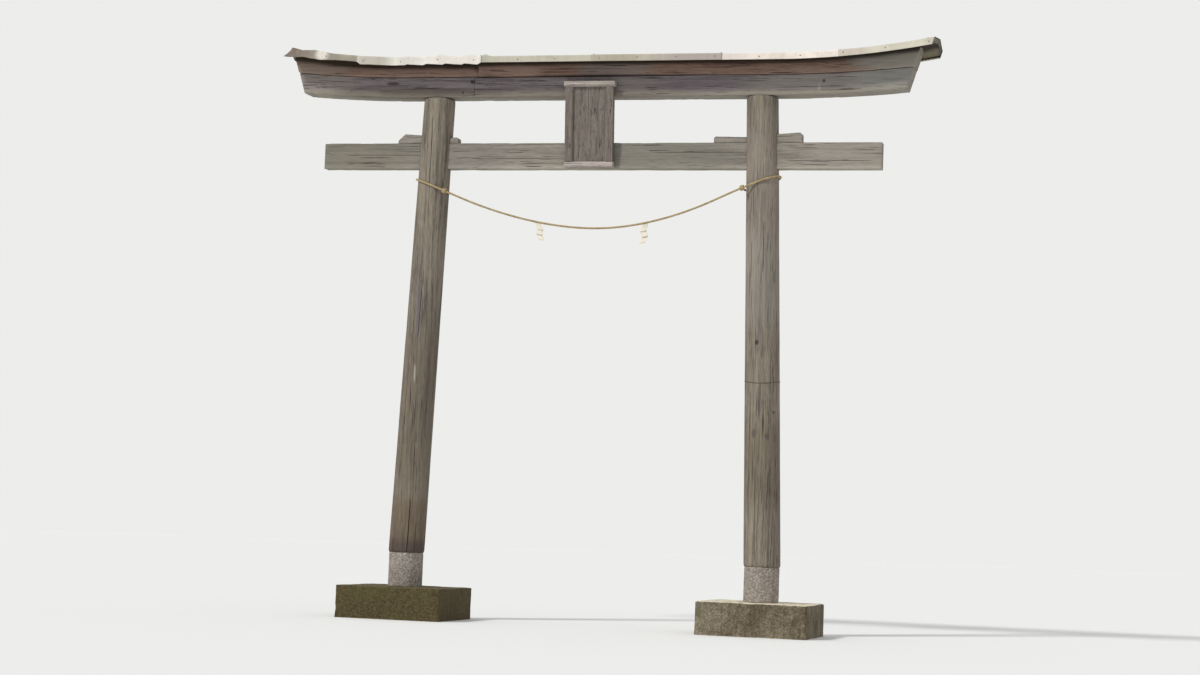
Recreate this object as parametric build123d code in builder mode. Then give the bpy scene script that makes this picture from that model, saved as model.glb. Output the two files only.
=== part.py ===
from build123d import *

import os
from math import atan, cos, pi, radians, sin, sqrt, tan

# A wooden torii gate on two footings. X runs along the gate, the front faces -Y and Z is up.
# The origin is on the ground, midway between the pillars. All sizes are in millimetres.

# Fits
wood_clearance = 0.3
sheet_clearance = 0.2

# Footings and plinths
footing_side = 720.0
footing_height = 215.0
footing_bevel = 12.0
plinth_diameter = 232.0
plinth_height = 226.0
plinth_bevel = 6.0

# Pillars
pillar_spacing = 2424.0
pillar_foot_diameter = 242.0
pillar_top_diameter = 212.0
pillar_lean = 1.81
pillar_top_round = 20.0
pillar_foot_bevel = 5.0
head_tenon_length = 72.0
head_tenon_width = 60.0
head_tenon_height = 60.0
foot_tenon_side = 90.0
foot_tenon_depth = 60.0

# Tie beam and its wedges
tie_beam_underside = 3035.0
tie_beam_height = 177.0
tie_beam_thickness = 75.0
tie_beam_end_overhang = 705.0
tie_beam_chamfer = 4.0
wedge_thickness = 68.0
wedge_gap = 4.0
outer_wedge_height = 66.0
outer_wedge_tip_height = 50.0
outer_wedge_reach = 158.0
inner_wedge_height = 42.0
inner_wedge_tip_height = 34.0
left_inner_wedge_reach = 54.0
right_inner_wedge_reach = 214.0
wedge_end_bevel = 12.0
left_wedge_end_bevel = 48.0

# Lintels
strut_height = 306.0
lower_lintel_height = 137.0
lower_lintel_depth = 160.0
lintel_end_overhang = 890.0
upper_lintel_height = 114.0
upper_lintel_depth = 190.0
lower_splice = -850.0
upper_splice = -825.0
tongue_length = 90.0
tongue_thickness = 50.0
tongue_height = 50.0

# Sweep of the ends: level in the middle, an arc upwards from the same distance on each side
sweep_past_pillar = 38.0
underside_sweep_radius = 9340.0
ridge_sweep_radius = 5750.0
end_slant = 17.0

# Roof boards, sheets and end flashings
roof_slope = 7.0
roof_board_thickness = 24.0
roof_board_half_width = 231.0
roof_end_overhang = 96.0
sheet_thickness = 2.0
fascia_height = 43.0
sheet_pitch = 820.0
sheet_offset = 30.0
sheet_lap = 60.0
sheets_each_side = 3

# Strut and plaque
strut_width = 112.0
strut_depth = 66.0
strut_tenon_width = 60.0
strut_tenon_depth = 24.0
strut_tenon_height = 30.0
plaque_rise = 7.0
plaque_drop = 40.0
plaque_offset = 33.0
plaque_width = 330.0
plaque_frame_depth = 50.0
stile_width = 55.0
top_rail_height = 37.0
bottom_rail_height = 40.0
top_rail_horn = 10.0
rail_step = 4.0
panel_thickness = 14.0
panel_recess = 20.0
groove_depth = 10.0
frame_chamfer = 3.0
frame_inner_bevel = 9.0

# Rope and paper streamers
rope_diameter = 14.0
rope_gap = 0.6
rope_tilt = 0.38
left_wrap_drop = 115.0
right_wrap_drop = 90.0
wrap_points = 8
knot_diameter = 38.0
knot_length = 36.0
knot_turns = 3
knot_bore_clearance = 0.8
knot_gap = 1.2
streamer_width = 40.0
streamer_thickness = 1.2
streamer_fold = 44.0
streamer_folds = 3
streamer_overlap = 8.0
streamer_gap = 0.4
streamer_step = 15.0
rope_fillet_share = 0.45
left_streamer_at = -350.0
right_streamer_at = 380.0

# Values worked out from the sizes above
pillar_foot = footing_height + plinth_height
tie_beam_top = tie_beam_underside + tie_beam_height
tie_beam_length = pillar_spacing + 2 * tie_beam_end_overhang
lower_lintel_underside = tie_beam_top + strut_height
pillar_rise = lower_lintel_underside - pillar_foot
upper_lintel_underside = lower_lintel_underside + lower_lintel_height
ridge_height = upper_lintel_underside + upper_lintel_height
sweep_start = pillar_spacing / 2 + sweep_past_pillar
seam_sweep_radius = underside_sweep_radius - lower_lintel_height
slope = tan(radians(roof_slope))
board_rise = roof_board_thickness / cos(radians(roof_slope))
sheet_rise = sheet_thickness / cos(radians(roof_slope))
lap_lift = sheet_thickness + sheet_clearance
lintel_half_length = pillar_spacing / 2 + lintel_end_overhang
roof_half_length = lintel_half_length + roof_end_overhang
trim_length = roof_half_length + 2 * roof_end_overhang


def save(piece, label):
    """Labels a finished sub-part and writes it."""
    piece.part.label = label
    export_step(piece.part, f"parts/{label}.step")


def pillar_centre(height):
    """Distance of a pillar's axis from the middle of the gate at a height."""
    return pillar_spacing / 2 - (height - pillar_foot) * tan(radians(pillar_lean))


def pillar_radius(height):
    """Radius of a tapered pillar at a height."""
    share = (height - pillar_foot) / pillar_rise
    return (pillar_foot_diameter + (pillar_top_diameter - pillar_foot_diameter) * share) / 2


def swept_height(base, radius, x):
    """Height at x of a line that is level in the middle and curves up towards its ends."""
    run = max(abs(x) - sweep_start, 0.0)
    return base + radius - sqrt(radius**2 - run**2)


def swept_line(base, radius, x_from, x_to):
    """Draws that line from x_from to x_to as straight runs and arcs."""
    marks = [x_from] + [x for x in (-sweep_start, sweep_start) if x_from < x < x_to] + [x_to]
    for start, end in zip(marks, marks[1:]):
        first, middle, last = [(x, swept_height(base, radius, x)) for x in (start, (start + end) / 2, end)]
        if max(abs(start), abs(end)) <= sweep_start:
            Line(first, last)
        else:
            ThreePointArc(first, middle, last)


def ridge_path(x_from, x_to):
    """The ridge of the upper lintel, which everything on the roof follows."""
    with BuildLine(Plane.XZ) as path:
        swept_line(ridge_height, ridge_sweep_radius, x_from, x_to)
    return path.wire()


def section_plane(path):
    """The plane across the start of a path, with its own x axis towards the back of the gate."""
    return Plane(origin=path @ 0, x_dir=(0, 1, 0), z_dir=path % 0)


def end_plane(side, set_back):
    """The slanted plane that cuts off an end of the roof, or runs beside it further in."""
    tilt = radians(end_slant)
    origin = (side * (roof_half_length - set_back), 0, upper_lintel_underside)
    return Plane(origin=origin, x_dir=(0, 1, 0), z_dir=(side * cos(tilt), 0, -sin(tilt)))


def gable(width, peak, bottom):
    """Corners of a section with a ridge in the middle and upright sides."""
    eave = peak - width * slope
    return [(-width, bottom), (-width, eave), (0, peak), (width, eave), (width, bottom)]


# Footings: square blocks with bevelled upper edges
for side, name in ((-1, "left"), (1, "right")):
    with BuildPart() as footing:
        with Locations((side * pillar_spacing / 2, 0, 0)):
            Box(footing_side, footing_side, footing_height, align=(Align.CENTER, Align.CENTER, Align.MIN))
        chamfer(footing.faces().sort_by(Axis.Z)[-1].edges(), footing_bevel)
    save(footing, f"{name}_footing")

# Plinths: round stubs between the footings and the pillars, with a socket for the pillar's foot tenon
for side, name in ((-1, "left"), (1, "right")):
    with BuildPart() as plinth:
        with BuildSketch(Plane.XY.offset(footing_height)):
            with Locations((side * pillar_spacing / 2, 0)):
                Circle(plinth_diameter / 2)
        extrude(amount=plinth_height)
        chamfer(plinth.faces().sort_by(Axis.Z)[-1].edges(), plinth_bevel)
        with BuildSketch(Plane.XY.offset(pillar_foot)):
            with Locations((side * pillar_spacing / 2, 0)):
                Rectangle(foot_tenon_side + 2 * wood_clearance, foot_tenon_side + 2 * wood_clearance)
        extrude(amount=-foot_tenon_depth - wood_clearance, mode=Mode.SUBTRACT)
    save(plinth, f"{name}_plinth")

# Pillars: tapered trunks that lean inward, cut level at the foot and the head, with a tenon at each end
ceiling_outer = outer_wedge_height + wood_clearance
ceiling_outer_tip = outer_wedge_tip_height + wood_clearance
ceiling_inner = inner_wedge_height + wood_clearance
ceiling_inner_tip = inner_wedge_tip_height + wood_clearance
mortise_centre = pillar_centre(tie_beam_top)
outer_far = mortise_centre + pillar_foot_diameter / 2
inner_far = mortise_centre - pillar_foot_diameter / 2
trunk_length = pillar_rise / cos(radians(pillar_lean))
trunk_spare = pillar_foot_diameter / 4
taper = (pillar_foot_diameter - pillar_top_diameter) / 2 / trunk_length
outer_wedge_end = mortise_centre + pillar_radius(tie_beam_top) + outer_wedge_reach
left_inner_end = mortise_centre - pillar_radius(tie_beam_top) - left_inner_wedge_reach
right_inner_end = mortise_centre - pillar_radius(tie_beam_top) - right_inner_wedge_reach


def wedge_top(x, end, height, tip_height):
    """Height above the tie beam of a wedge's sloping top, at a distance x from the middle."""
    return tip_height + (height - tip_height) * (x - mortise_centre) / (end - mortise_centre)


for side, name, inner_end in ((-1, "left", left_inner_end), (1, "right", right_inner_end)):
    axis = (-side * sin(radians(pillar_lean)), 0, cos(radians(pillar_lean)))
    trunk = Plane(origin=(side * pillar_spacing / 2, 0, pillar_foot), z_dir=axis)
    with BuildPart() as pillar:
        with BuildSketch(trunk.offset(-trunk_spare)):
            Circle(pillar_foot_diameter / 2 + trunk_spare * taper)
        with BuildSketch(trunk.offset(trunk_length + trunk_spare)):
            Circle(pillar_top_diameter / 2 - trunk_spare * taper)
        loft()
        split(bisect_by=Plane.XY.offset(pillar_foot), keep=Keep.TOP)
        split(bisect_by=Plane.XY.offset(lower_lintel_underside), keep=Keep.BOTTOM)
        fillet(pillar.faces().sort_by(Axis.Z)[-1].edges(), pillar_top_round)
        chamfer(pillar.faces().sort_by(Axis.Z)[0].edges(), pillar_foot_bevel)
        with BuildSketch(Plane.XY.offset(lower_lintel_underside)):
            with Locations((side * pillar_centre(lower_lintel_underside), 0)):
                Rectangle(head_tenon_length, head_tenon_width)
        extrude(amount=head_tenon_height)
        with BuildSketch(Plane.XY.offset(pillar_foot)):
            with Locations((side * pillar_spacing / 2, 0)):
                Rectangle(foot_tenon_side, foot_tenon_side)
        extrude(amount=-foot_tenon_depth)
        with BuildSketch(Plane.XZ):
            ceiling = [
                (outer_far, wedge_top(outer_far, outer_wedge_end, ceiling_outer, ceiling_outer_tip)),
                (mortise_centre, ceiling_outer_tip),
                (mortise_centre, ceiling_inner_tip),
                (inner_far, wedge_top(inner_far, inner_end, ceiling_inner, ceiling_inner_tip)),
            ]
            with BuildLine():
                roof_points = [(side * x, tie_beam_top + z) for x, z in ceiling]
                floor_points = [(side * x, tie_beam_underside) for x in (inner_far, outer_far)]
                Polyline(*roof_points, *floor_points, close=True)
            make_face()
        extrude(amount=tie_beam_thickness / 2 + wood_clearance, both=True, mode=Mode.SUBTRACT)
    save(pillar, f"{name}_pillar")

# Tie beam through both pillars, with a mortise for the strut
with BuildPart() as tie_beam:
    with Locations((0, 0, tie_beam_underside + tie_beam_height / 2)):
        Box(tie_beam_length, tie_beam_thickness, tie_beam_height)
    chamfer(tie_beam.edges().filter_by(Axis.X), tie_beam_chamfer)
    with BuildSketch(Plane.XY.offset(tie_beam_top)):
        Rectangle(strut_tenon_width + 2 * wood_clearance, strut_tenon_depth + 2 * wood_clearance)
    extrude(amount=-strut_tenon_height - wood_clearance, mode=Mode.SUBTRACT)
save(tie_beam, "tie_beam")

# Wedges on top of the tie beam, driven into the mortises from both sides
outer_heights = (outer_wedge_height, outer_wedge_tip_height)
inner_heights = (inner_wedge_height, inner_wedge_tip_height)
wedges = (
    ("left_outer_wedge", -1, outer_wedge_end, outer_heights, left_wedge_end_bevel),
    ("left_inner_wedge", -1, left_inner_end, inner_heights, wedge_end_bevel),
    ("right_inner_wedge", 1, right_inner_end, inner_heights, wedge_end_bevel),
    ("right_outer_wedge", 1, outer_wedge_end, outer_heights, wedge_end_bevel),
)
for name, side, end, (height, tip_height), bevel in wedges:
    away = 1 if end > mortise_centre else -1
    tip = mortise_centre + away * wedge_gap
    shoulder = end - away * bevel
    outline = [
        (tip, 0),
        (tip, wedge_top(tip, end, height, tip_height)),
        (shoulder, wedge_top(shoulder, end, height, tip_height)),
        (end, height - bevel),
        (end, 0),
    ]
    with BuildPart() as wedge:
        with BuildSketch(Plane.XZ):
            with BuildLine():
                Polyline(*[(side * x, tie_beam_top + z) for x, z in outline], close=True)
            make_face()
        extrude(amount=wedge_thickness / 2, both=True)
    save(wedge, name)

# Lower lintel: parallel upswept faces, slanted ends, mortises for the pillars' and the strut's tenons
with BuildPart() as lower_lintel:
    with BuildSketch(Plane.XZ):
        with BuildLine():
            swept_line(lower_lintel_underside, underside_sweep_radius, -trim_length, trim_length)
            swept_line(upper_lintel_underside, seam_sweep_radius, -trim_length, trim_length)
            for x in (-trim_length, trim_length):
                low = swept_height(lower_lintel_underside, underside_sweep_radius, x)
                high = swept_height(upper_lintel_underside, seam_sweep_radius, x)
                Line((x, low), (x, high))
        make_face()
    extrude(amount=lower_lintel_depth / 2, both=True)
    for side in (-1, 1):
        split(bisect_by=end_plane(side, roof_end_overhang), keep=Keep.BOTTOM)
    with BuildSketch(Plane.XY.offset(lower_lintel_underside)):
        with Locations(*[(side * pillar_centre(lower_lintel_underside), 0) for side in (-1, 1)]):
            Rectangle(head_tenon_length + 2 * wood_clearance, head_tenon_width + 2 * wood_clearance)
    extrude(amount=head_tenon_height + wood_clearance, mode=Mode.SUBTRACT)
    with BuildSketch(Plane.XY.offset(lower_lintel_underside)):
        Rectangle(strut_tenon_width + 2 * wood_clearance, strut_tenon_depth + 2 * wood_clearance)
    extrude(amount=strut_tenon_height + wood_clearance, mode=Mode.SUBTRACT)

# Upper lintel: its top slopes from a ridge to both sides and rises more than its underside
with BuildPart() as upper_lintel:
    ridge = ridge_path(-trim_length, trim_length)
    with BuildSketch(section_plane(ridge)):
        with BuildLine():
            Polyline(*gable(upper_lintel_depth / 2, 0, -2 * upper_lintel_height), close=True)
        make_face()
    sweep(path=ridge)
    with BuildSketch(Plane.XZ):
        with BuildLine():
            swept_line(upper_lintel_underside, seam_sweep_radius, -trim_length, trim_length)
            edge = swept_height(upper_lintel_underside, seam_sweep_radius, trim_length)
            far = trim_length + upper_lintel_depth
            Polyline((trim_length, edge), (far, edge), (far, lower_lintel_underside),
                     (-far, lower_lintel_underside), (-far, edge), (-trim_length, edge))
        make_face()
    extrude(amount=upper_lintel_depth, both=True, mode=Mode.SUBTRACT)
    for side in (-1, 1):
        split(bisect_by=end_plane(side, roof_end_overhang), keep=Keep.BOTTOM)

# Each lintel is two lengths, joined by a tongue on the left one in a slot in the right one
lintels = (
    ("lower_lintel", lower_lintel, lower_splice, lower_lintel_underside + lower_lintel_height / 2),
    ("upper_lintel", upper_lintel, upper_splice, upper_lintel_underside + upper_lintel_height / 2),
)
for name, whole, splice, tongue_level in lintels:
    with BuildPart() as left_length:
        add(whole.part)
        split(bisect_by=Plane.YZ.offset(splice), keep=Keep.BOTTOM)
        with Locations((splice, 0, tongue_level)):
            Box(tongue_length, tongue_thickness, tongue_height, align=(Align.MIN, Align.CENTER, Align.CENTER))
    save(left_length, f"{name}_left")
    with BuildPart() as right_length:
        add(whole.part)
        split(bisect_by=Plane.YZ.offset(splice + wood_clearance), keep=Keep.TOP)
        with Locations((splice, 0, tongue_level)):
            Box(
                tongue_length + wood_clearance,
                tongue_thickness + 2 * wood_clearance,
                tongue_height + 2 * wood_clearance,
                align=(Align.MIN, Align.CENTER, Align.CENTER),
                mode=Mode.SUBTRACT,
            )
    save(right_length, f"{name}_right")

# Roof boards: one to the front and one to the back of the ridge
flashing_back = sheet_thickness / cos(radians(end_slant))
board_set_back = flashing_back + wood_clearance
for side, name in ((-1, "front"), (1, "back")):
    inner = side * wood_clearance / 2
    outer = side * roof_board_half_width
    with BuildPart() as roof_board:
        ridge = ridge_path(-trim_length, trim_length)
        with BuildSketch(section_plane(ridge)):
            with BuildLine():
                lower = [(y, -abs(y) * slope) for y in (inner, outer)]
                upper = [(y, board_rise - abs(y) * slope) for y in (outer, inner)]
                Polyline(*lower, *upper, close=True)
            make_face()
        sweep(path=ridge)
        for end in (-1, 1):
            split(bisect_by=end_plane(end, board_set_back), keep=Keep.BOTTOM)
    save(roof_board, f"{name}_roof_board")

# Roof sheets: folded metal, every second one lapping over its neighbours
sheet_half_width = roof_board_half_width + sheet_clearance
sheet_peak = board_rise + sheet_clearance
fascia_bottom = sheet_peak + sheet_rise - (sheet_half_width + sheet_thickness) * slope - fascia_height
seams = [sheet_offset + i * sheet_pitch for i in range(1 - sheets_each_side, sheets_each_side)]
starts = [-trim_length] + [x - sheet_lap / 2 for x in seams]
ends = [x + sheet_lap / 2 for x in seams] + [trim_length]
for number, (x_from, x_to) in enumerate(zip(starts, ends)):
    lift = (number % 2) * lap_lift
    under_peak = sheet_peak + (number % 2) * (sheet_rise + sheet_clearance)
    with BuildPart() as roof_sheet:
        ridge = ridge_path(x_from, x_to)
        with BuildSketch(section_plane(ridge)):
            with BuildLine():
                inner_width = sheet_half_width + lift
                outside = gable(inner_width + sheet_thickness, under_peak + sheet_rise, fascia_bottom)
                inside = gable(inner_width, under_peak, fascia_bottom)
                Polyline(*outside, *reversed(inside), close=True)
            make_face()
        sweep(path=ridge)
        if number in (0, 2 * sheets_each_side - 1):
            split(bisect_by=end_plane(-1 if number == 0 else 1, 0), keep=Keep.BOTTOM)
    save(roof_sheet, f"roof_sheet_{number + 1}")

# End flashings: gable strips that close the ends of the roof boards
for side, name in ((-1, "left"), (1, "right")):
    strip_top = sheet_peak - sheet_clearance
    strip_width = sheet_half_width - sheet_clearance
    with BuildPart() as flashing:
        ridge = ridge_path(*sorted((side * lintel_half_length, side * trim_length)))
        with BuildSketch(section_plane(ridge)):
            with BuildLine():
                top_line = gable(strip_width, strip_top, fascia_bottom)
                dip = fascia_bottom + strip_width * slope
                Polyline(*top_line, (0, dip), close=True)
            make_face()
        sweep(path=ridge)
        split(bisect_by=end_plane(side, 0), keep=Keep.BOTTOM)
        split(bisect_by=end_plane(side, flashing_back), keep=Keep.TOP)
    save(flashing, f"{name}_end_flashing")

# Strut between the tie beam and the lower lintel, behind the plaque, with a tenon at each end
with BuildPart() as strut:
    with Locations((0, 0, tie_beam_top + strut_height / 2)):
        Box(strut_width, strut_depth, strut_height)
        Box(strut_tenon_width, strut_tenon_depth, strut_height + 2 * strut_tenon_height)
save(strut, "plaque_strut")

# Plaque: a frame with a bare panel, leaning on the tie beam and on the lower lintel's front edge.
# It hangs a little to the left of the middle.
plaque_bottom = tie_beam_underside + plaque_rise
back_foot = tie_beam_thickness / 2 + wood_clearance
back_head = lower_lintel_depth / 2 + wood_clearance
plaque_lean = atan((back_head - back_foot) / (lower_lintel_underside - plaque_bottom))
plaque_back = Plane(
    origin=(-plaque_offset, -back_foot, plaque_bottom),
    x_dir=(1, 0, 0),
    z_dir=(0, -cos(plaque_lean), -sin(plaque_lean)),
)
plaque_height = (upper_lintel_underside - plaque_drop - plaque_bottom) / cos(plaque_lean)
field_width = plaque_width - 2 * stile_width
field_height = plaque_height - top_rail_height - bottom_rail_height
field_middle = bottom_rail_height + field_height / 2
panel_front = plaque_frame_depth - panel_recess
groove_back = panel_front - panel_thickness - wood_clearance
plaque_forward = Axis(plaque_back.origin, plaque_back.z_dir)
plaque_upward = Axis(plaque_back.origin, plaque_back.y_dir)

# Room for the panel's edges, cut out of each rail and stile
with BuildPart() as groove:
    with BuildSketch(plaque_back.offset(groove_back)):
        with Locations((0, field_middle)):
            Rectangle(field_width + 2 * groove_depth, field_height + 2 * groove_depth)
    extrude(amount=panel_thickness + 2 * wood_clearance)

rails = (
    ("plaque_top_rail", plaque_height - top_rail_height, top_rail_height, plaque_width + 2 * top_rail_horn),
    ("plaque_bottom_rail", 0, bottom_rail_height, plaque_width + rail_step),
)
for name, low, height, width in rails:
    with BuildPart() as rail:
        with BuildSketch(plaque_back):
            with Locations((0, low + height / 2)):
                Rectangle(width, height)
        extrude(amount=plaque_frame_depth + rail_step)
        rims = rail.edges().filter_by(Axis.X)
        inner_rim = rims.sort_by(plaque_forward)[-2:].sort_by(plaque_upward)[0 if low > 0 else -1]
        chamfer(rims - ShapeList([inner_rim]), frame_chamfer)
        rims = rail.edges().filter_by(Axis.X)
        chamfer(rims.sort_by_distance(inner_rim @ 0.5)[0], frame_inner_bevel)
        add(groove.part, mode=Mode.SUBTRACT)
    save(rail, name)

for side, name in ((-1, "left"), (1, "right")):
    with BuildPart() as stile:
        with BuildSketch(plaque_back):
            with Locations((side * (plaque_width - stile_width) / 2, field_middle)):
                Rectangle(stile_width, field_height)
        extrude(amount=plaque_frame_depth)
        rims = stile.edges().filter_by(plaque_upward)
        inner_rim = rims.sort_by(plaque_forward)[-2:].sort_by(Axis.X)[0 if side > 0 else -1]
        chamfer(rims - ShapeList([inner_rim]), frame_chamfer)
        rims = stile.edges().filter_by(plaque_upward)
        chamfer(rims.sort_by_distance(inner_rim @ 0.5)[0], frame_inner_bevel)
        add(groove.part, mode=Mode.SUBTRACT)
    save(stile, f"plaque_{name}_stile")

with BuildPart() as panel:
    with BuildSketch(plaque_back.offset(panel_front - panel_thickness)):
        with Locations((0, field_middle)):
            Rectangle(
                field_width + 2 * (groove_depth - wood_clearance),
                field_height + 2 * (groove_depth - wood_clearance),
            )
    extrude(amount=panel_thickness)
save(panel, "plaque_panel")

# Rope: one turn round each pillar, tied to itself, and a free span that sags between them.
# The span's points are distances from the middle and drops below the tie beam.
rope_span = [
    (-940, 193),
    (-790, 252),
    (-620, 307),
    (-445, 353),
    (-265, 387),
    (-85, 407),
    (95, 410),
    (275, 392),
    (450, 356),
    (620, 306),
    (785, 242),
    (940, 170),
]


def rope_turn(side, height):
    """Points of a turn from beside the free span, across the front and round to the knot."""
    ring = (pillar_radius(height) + rope_diameter / 2 + rope_gap) / cos(radians(180 / wrap_points))
    step = 360 / wrap_points
    points = []
    for number in range(wrap_points):
        angle = radians(90 - step / 2 + step * number)
        outward = -ring * cos(angle)
        place = (side * (pillar_centre(height) + outward), -ring * sin(angle), height + rope_tilt * outward)
        points.append(place)
    return points


def rope_front(height):
    """The y of the rope's line in front of a pillar."""
    return -(pillar_radius(height) + rope_diameter / 2 + rope_gap)


def knot_place(turn, neighbour):
    """Where the rope's end meets the standing rope, and the standing rope's direction there."""
    first = Vector(*turn[0])
    along = Vector(*neighbour) - first
    share = (turn[-1][0] - first.X) / along.X
    return first + along * share, along.normalized()


left_wrap_height = tie_beam_underside - left_wrap_drop
right_wrap_height = tie_beam_underside - right_wrap_drop
left_turn = rope_turn(-1, left_wrap_height)
right_turn = rope_turn(1, right_wrap_height)
left_front = rope_front(left_wrap_height)
right_front = rope_front(right_wrap_height)
span_points = []
for x, drop in rope_span:
    share = (x - rope_span[0][0]) / (rope_span[-1][0] - rope_span[0][0])
    span_points.append((x, left_front + (right_front - left_front) * share, tie_beam_underside - drop))
left_knot, left_along = knot_place(left_turn, span_points[0])
right_knot, right_along = knot_place(right_turn, span_points[-1])
tail_back = knot_diameter / 2 + knot_gap
tail_drop = rope_diameter / 4
left_tail = (left_knot.X, left_knot.Y + tail_back, left_knot.Z - tail_drop)
right_tail = (right_knot.X, right_knot.Y + tail_back, right_knot.Z - tail_drop)
rope_points = [left_tail, *reversed(left_turn), *span_points, *right_turn, right_tail]
rope_places = [Vector(*point) for point in rope_points]
runs = [b - a for a, b in zip(rope_places, rope_places[1:])]
rope_radii = []
for before, after in zip(runs, runs[1:]):
    half_turn = radians(before.get_angle(after)) / 2
    rope_radii.append(rope_fillet_share * min(before.length, after.length) / tan(half_turn))

with BuildPart() as rope:
    with BuildLine() as rope_line:
        FilletPolyline(*rope_points, radius=rope_radii)
    route = rope_line.wire()
    with BuildSketch(Plane(origin=route @ 0, z_dir=route % 0)):
        Circle(rope_diameter / 2)
    sweep(path=route)
save(rope, "rope")
print("rope radii", [round(radius) for radius in rope_radii])
print("rope runs", [round(run.length) for run in runs])
tube_volume = pi * rope_diameter**2 / 4 * route.length
print("rope length", round(route.length), "volume over section times length", rope.part.volume / tube_volume)

# Knots: the rope's ends wound round the standing rope beside each pillar, as a ribbed ring
turn_length = knot_length / knot_turns
knot_bore = rope_diameter / 2 + knot_bore_clearance
knot_valley = knot_diameter / 2 - turn_length / 4
knot_outline = [(knot_bore, knot_length / 2), (knot_bore, -knot_length / 2)]
for number in range(knot_turns):
    start = turn_length * number - knot_length / 2
    knot_outline.append((knot_valley, start))
    knot_outline.append((knot_diameter / 2, start + turn_length / 4))
    knot_outline.append((knot_diameter / 2, start + turn_length * 3 / 4))
knot_outline.append((knot_valley, knot_length / 2))
for name, centre, along in (("left", left_knot, left_along), ("right", right_knot, right_along)):
    across = Vector(0, 1, 0) - along * along.Y
    with BuildPart() as knot:
        with BuildSketch(Plane(origin=centre, x_dir=across, z_dir=across.cross(along))):
            with BuildLine():
                Polyline(*knot_outline, close=True)
            make_face()
        revolve(axis=Axis(centre, along), revolution_arc=360)
    save(knot, f"{name}_rope_knot")

# Paper streamers: folded strips that hang from the rope
for name, x, drift in (("left", left_streamer_at, 1), ("right", right_streamer_at, -1)):
    before = [point for point in span_points if point[0] <= x][-1]
    after = [point for point in span_points if point[0] > x][0]
    rope_slope = (after[2] - before[2]) / (after[0] - before[0])
    rope_height = before[2] + rope_slope * (x - before[0])
    top = rope_height - (rope_diameter / 2 + streamer_gap) / cos(atan(rope_slope))
    half = streamer_width / 2
    step = drift * streamer_step
    with BuildPart() as streamer:
        with BuildSketch(Plane.XZ.offset(-left_front)):
            for fold in range(streamer_folds):
                high = top - fold * (streamer_fold - streamer_overlap)
                low = high - streamer_fold
                start, end = (0, step) if fold % 2 == 0 else (step, 0)
                corners = [(start - half, high), (start + half, high), (end + half, low), (end - half, low)]
                with BuildLine():
                    Polyline(*[(x + across, z + across * rope_slope) for across, z in corners], close=True)
                make_face()
        extrude(amount=streamer_thickness / 2, both=True)
    save(streamer, f"{name}_streamer")
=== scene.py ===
"""Dresses a wooden torii gate: weathered timber, a dented sheet roof, a straw rope and mossy footings.

X runs along the gate, the front faces -Y and Z is up. The origin is on the ground, midway between the
pillars. All lengths are in metres.
"""

import math

import bpy
import numpy as np
from bpy.props import FloatProperty, FloatVectorProperty, IntProperty, PointerProperty
from mathutils import Matrix, Vector


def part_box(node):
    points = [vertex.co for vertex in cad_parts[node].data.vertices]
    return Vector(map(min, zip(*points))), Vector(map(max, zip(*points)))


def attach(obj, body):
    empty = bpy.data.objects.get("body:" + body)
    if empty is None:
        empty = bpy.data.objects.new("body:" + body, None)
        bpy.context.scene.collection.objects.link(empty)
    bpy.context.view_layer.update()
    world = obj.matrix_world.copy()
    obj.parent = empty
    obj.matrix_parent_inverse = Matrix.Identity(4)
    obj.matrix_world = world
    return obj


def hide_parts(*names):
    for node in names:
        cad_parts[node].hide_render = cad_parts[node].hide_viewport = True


bl_info = {
    "name": "Torii Gate",
    "version": (1, 0, 0),
    "blender": (4, 5, 0),
    "location": "View3D > Sidebar > Torii",
    "description": "Weathered timber, sheet roof, straw rope and footings of a torii gate",
    "category": "Object",
}

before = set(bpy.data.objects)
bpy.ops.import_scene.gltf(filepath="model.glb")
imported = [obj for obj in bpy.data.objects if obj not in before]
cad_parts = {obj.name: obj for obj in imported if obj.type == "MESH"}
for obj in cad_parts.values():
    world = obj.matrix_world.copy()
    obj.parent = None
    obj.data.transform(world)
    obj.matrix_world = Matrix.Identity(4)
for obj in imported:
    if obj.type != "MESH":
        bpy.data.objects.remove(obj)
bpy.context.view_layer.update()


# Settings


def linear(red, green, blue):
    """A colour from 0 to 255 as the eye sees it, in the linear values that Blender keeps."""
    shares = [value / 255 for value in (red, green, blue)]
    return tuple(s / 12.92 if s <= 0.04045 else ((s + 0.055) / 1.055) ** 2.4 for s in shares)


def shaded(tone, share):
    """A colour made darker or lighter by a share."""
    return tuple(share * c for c in tone)


def length(name, description, default):
    """A length that a user may change."""
    return FloatProperty(name=name, description=description, default=default, unit="LENGTH")


def angle(name, description, degrees):
    """An angle that a user may change."""
    return FloatProperty(name=name, description=description, default=math.radians(degrees), subtype="ANGLE")


def colour(name, description, *eye):
    """A colour that a user may change, given from 0 to 255."""
    return FloatVectorProperty(
        name=name, description=description, default=linear(*eye), subtype="COLOR", min=0.0, max=1.0
    )


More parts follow.
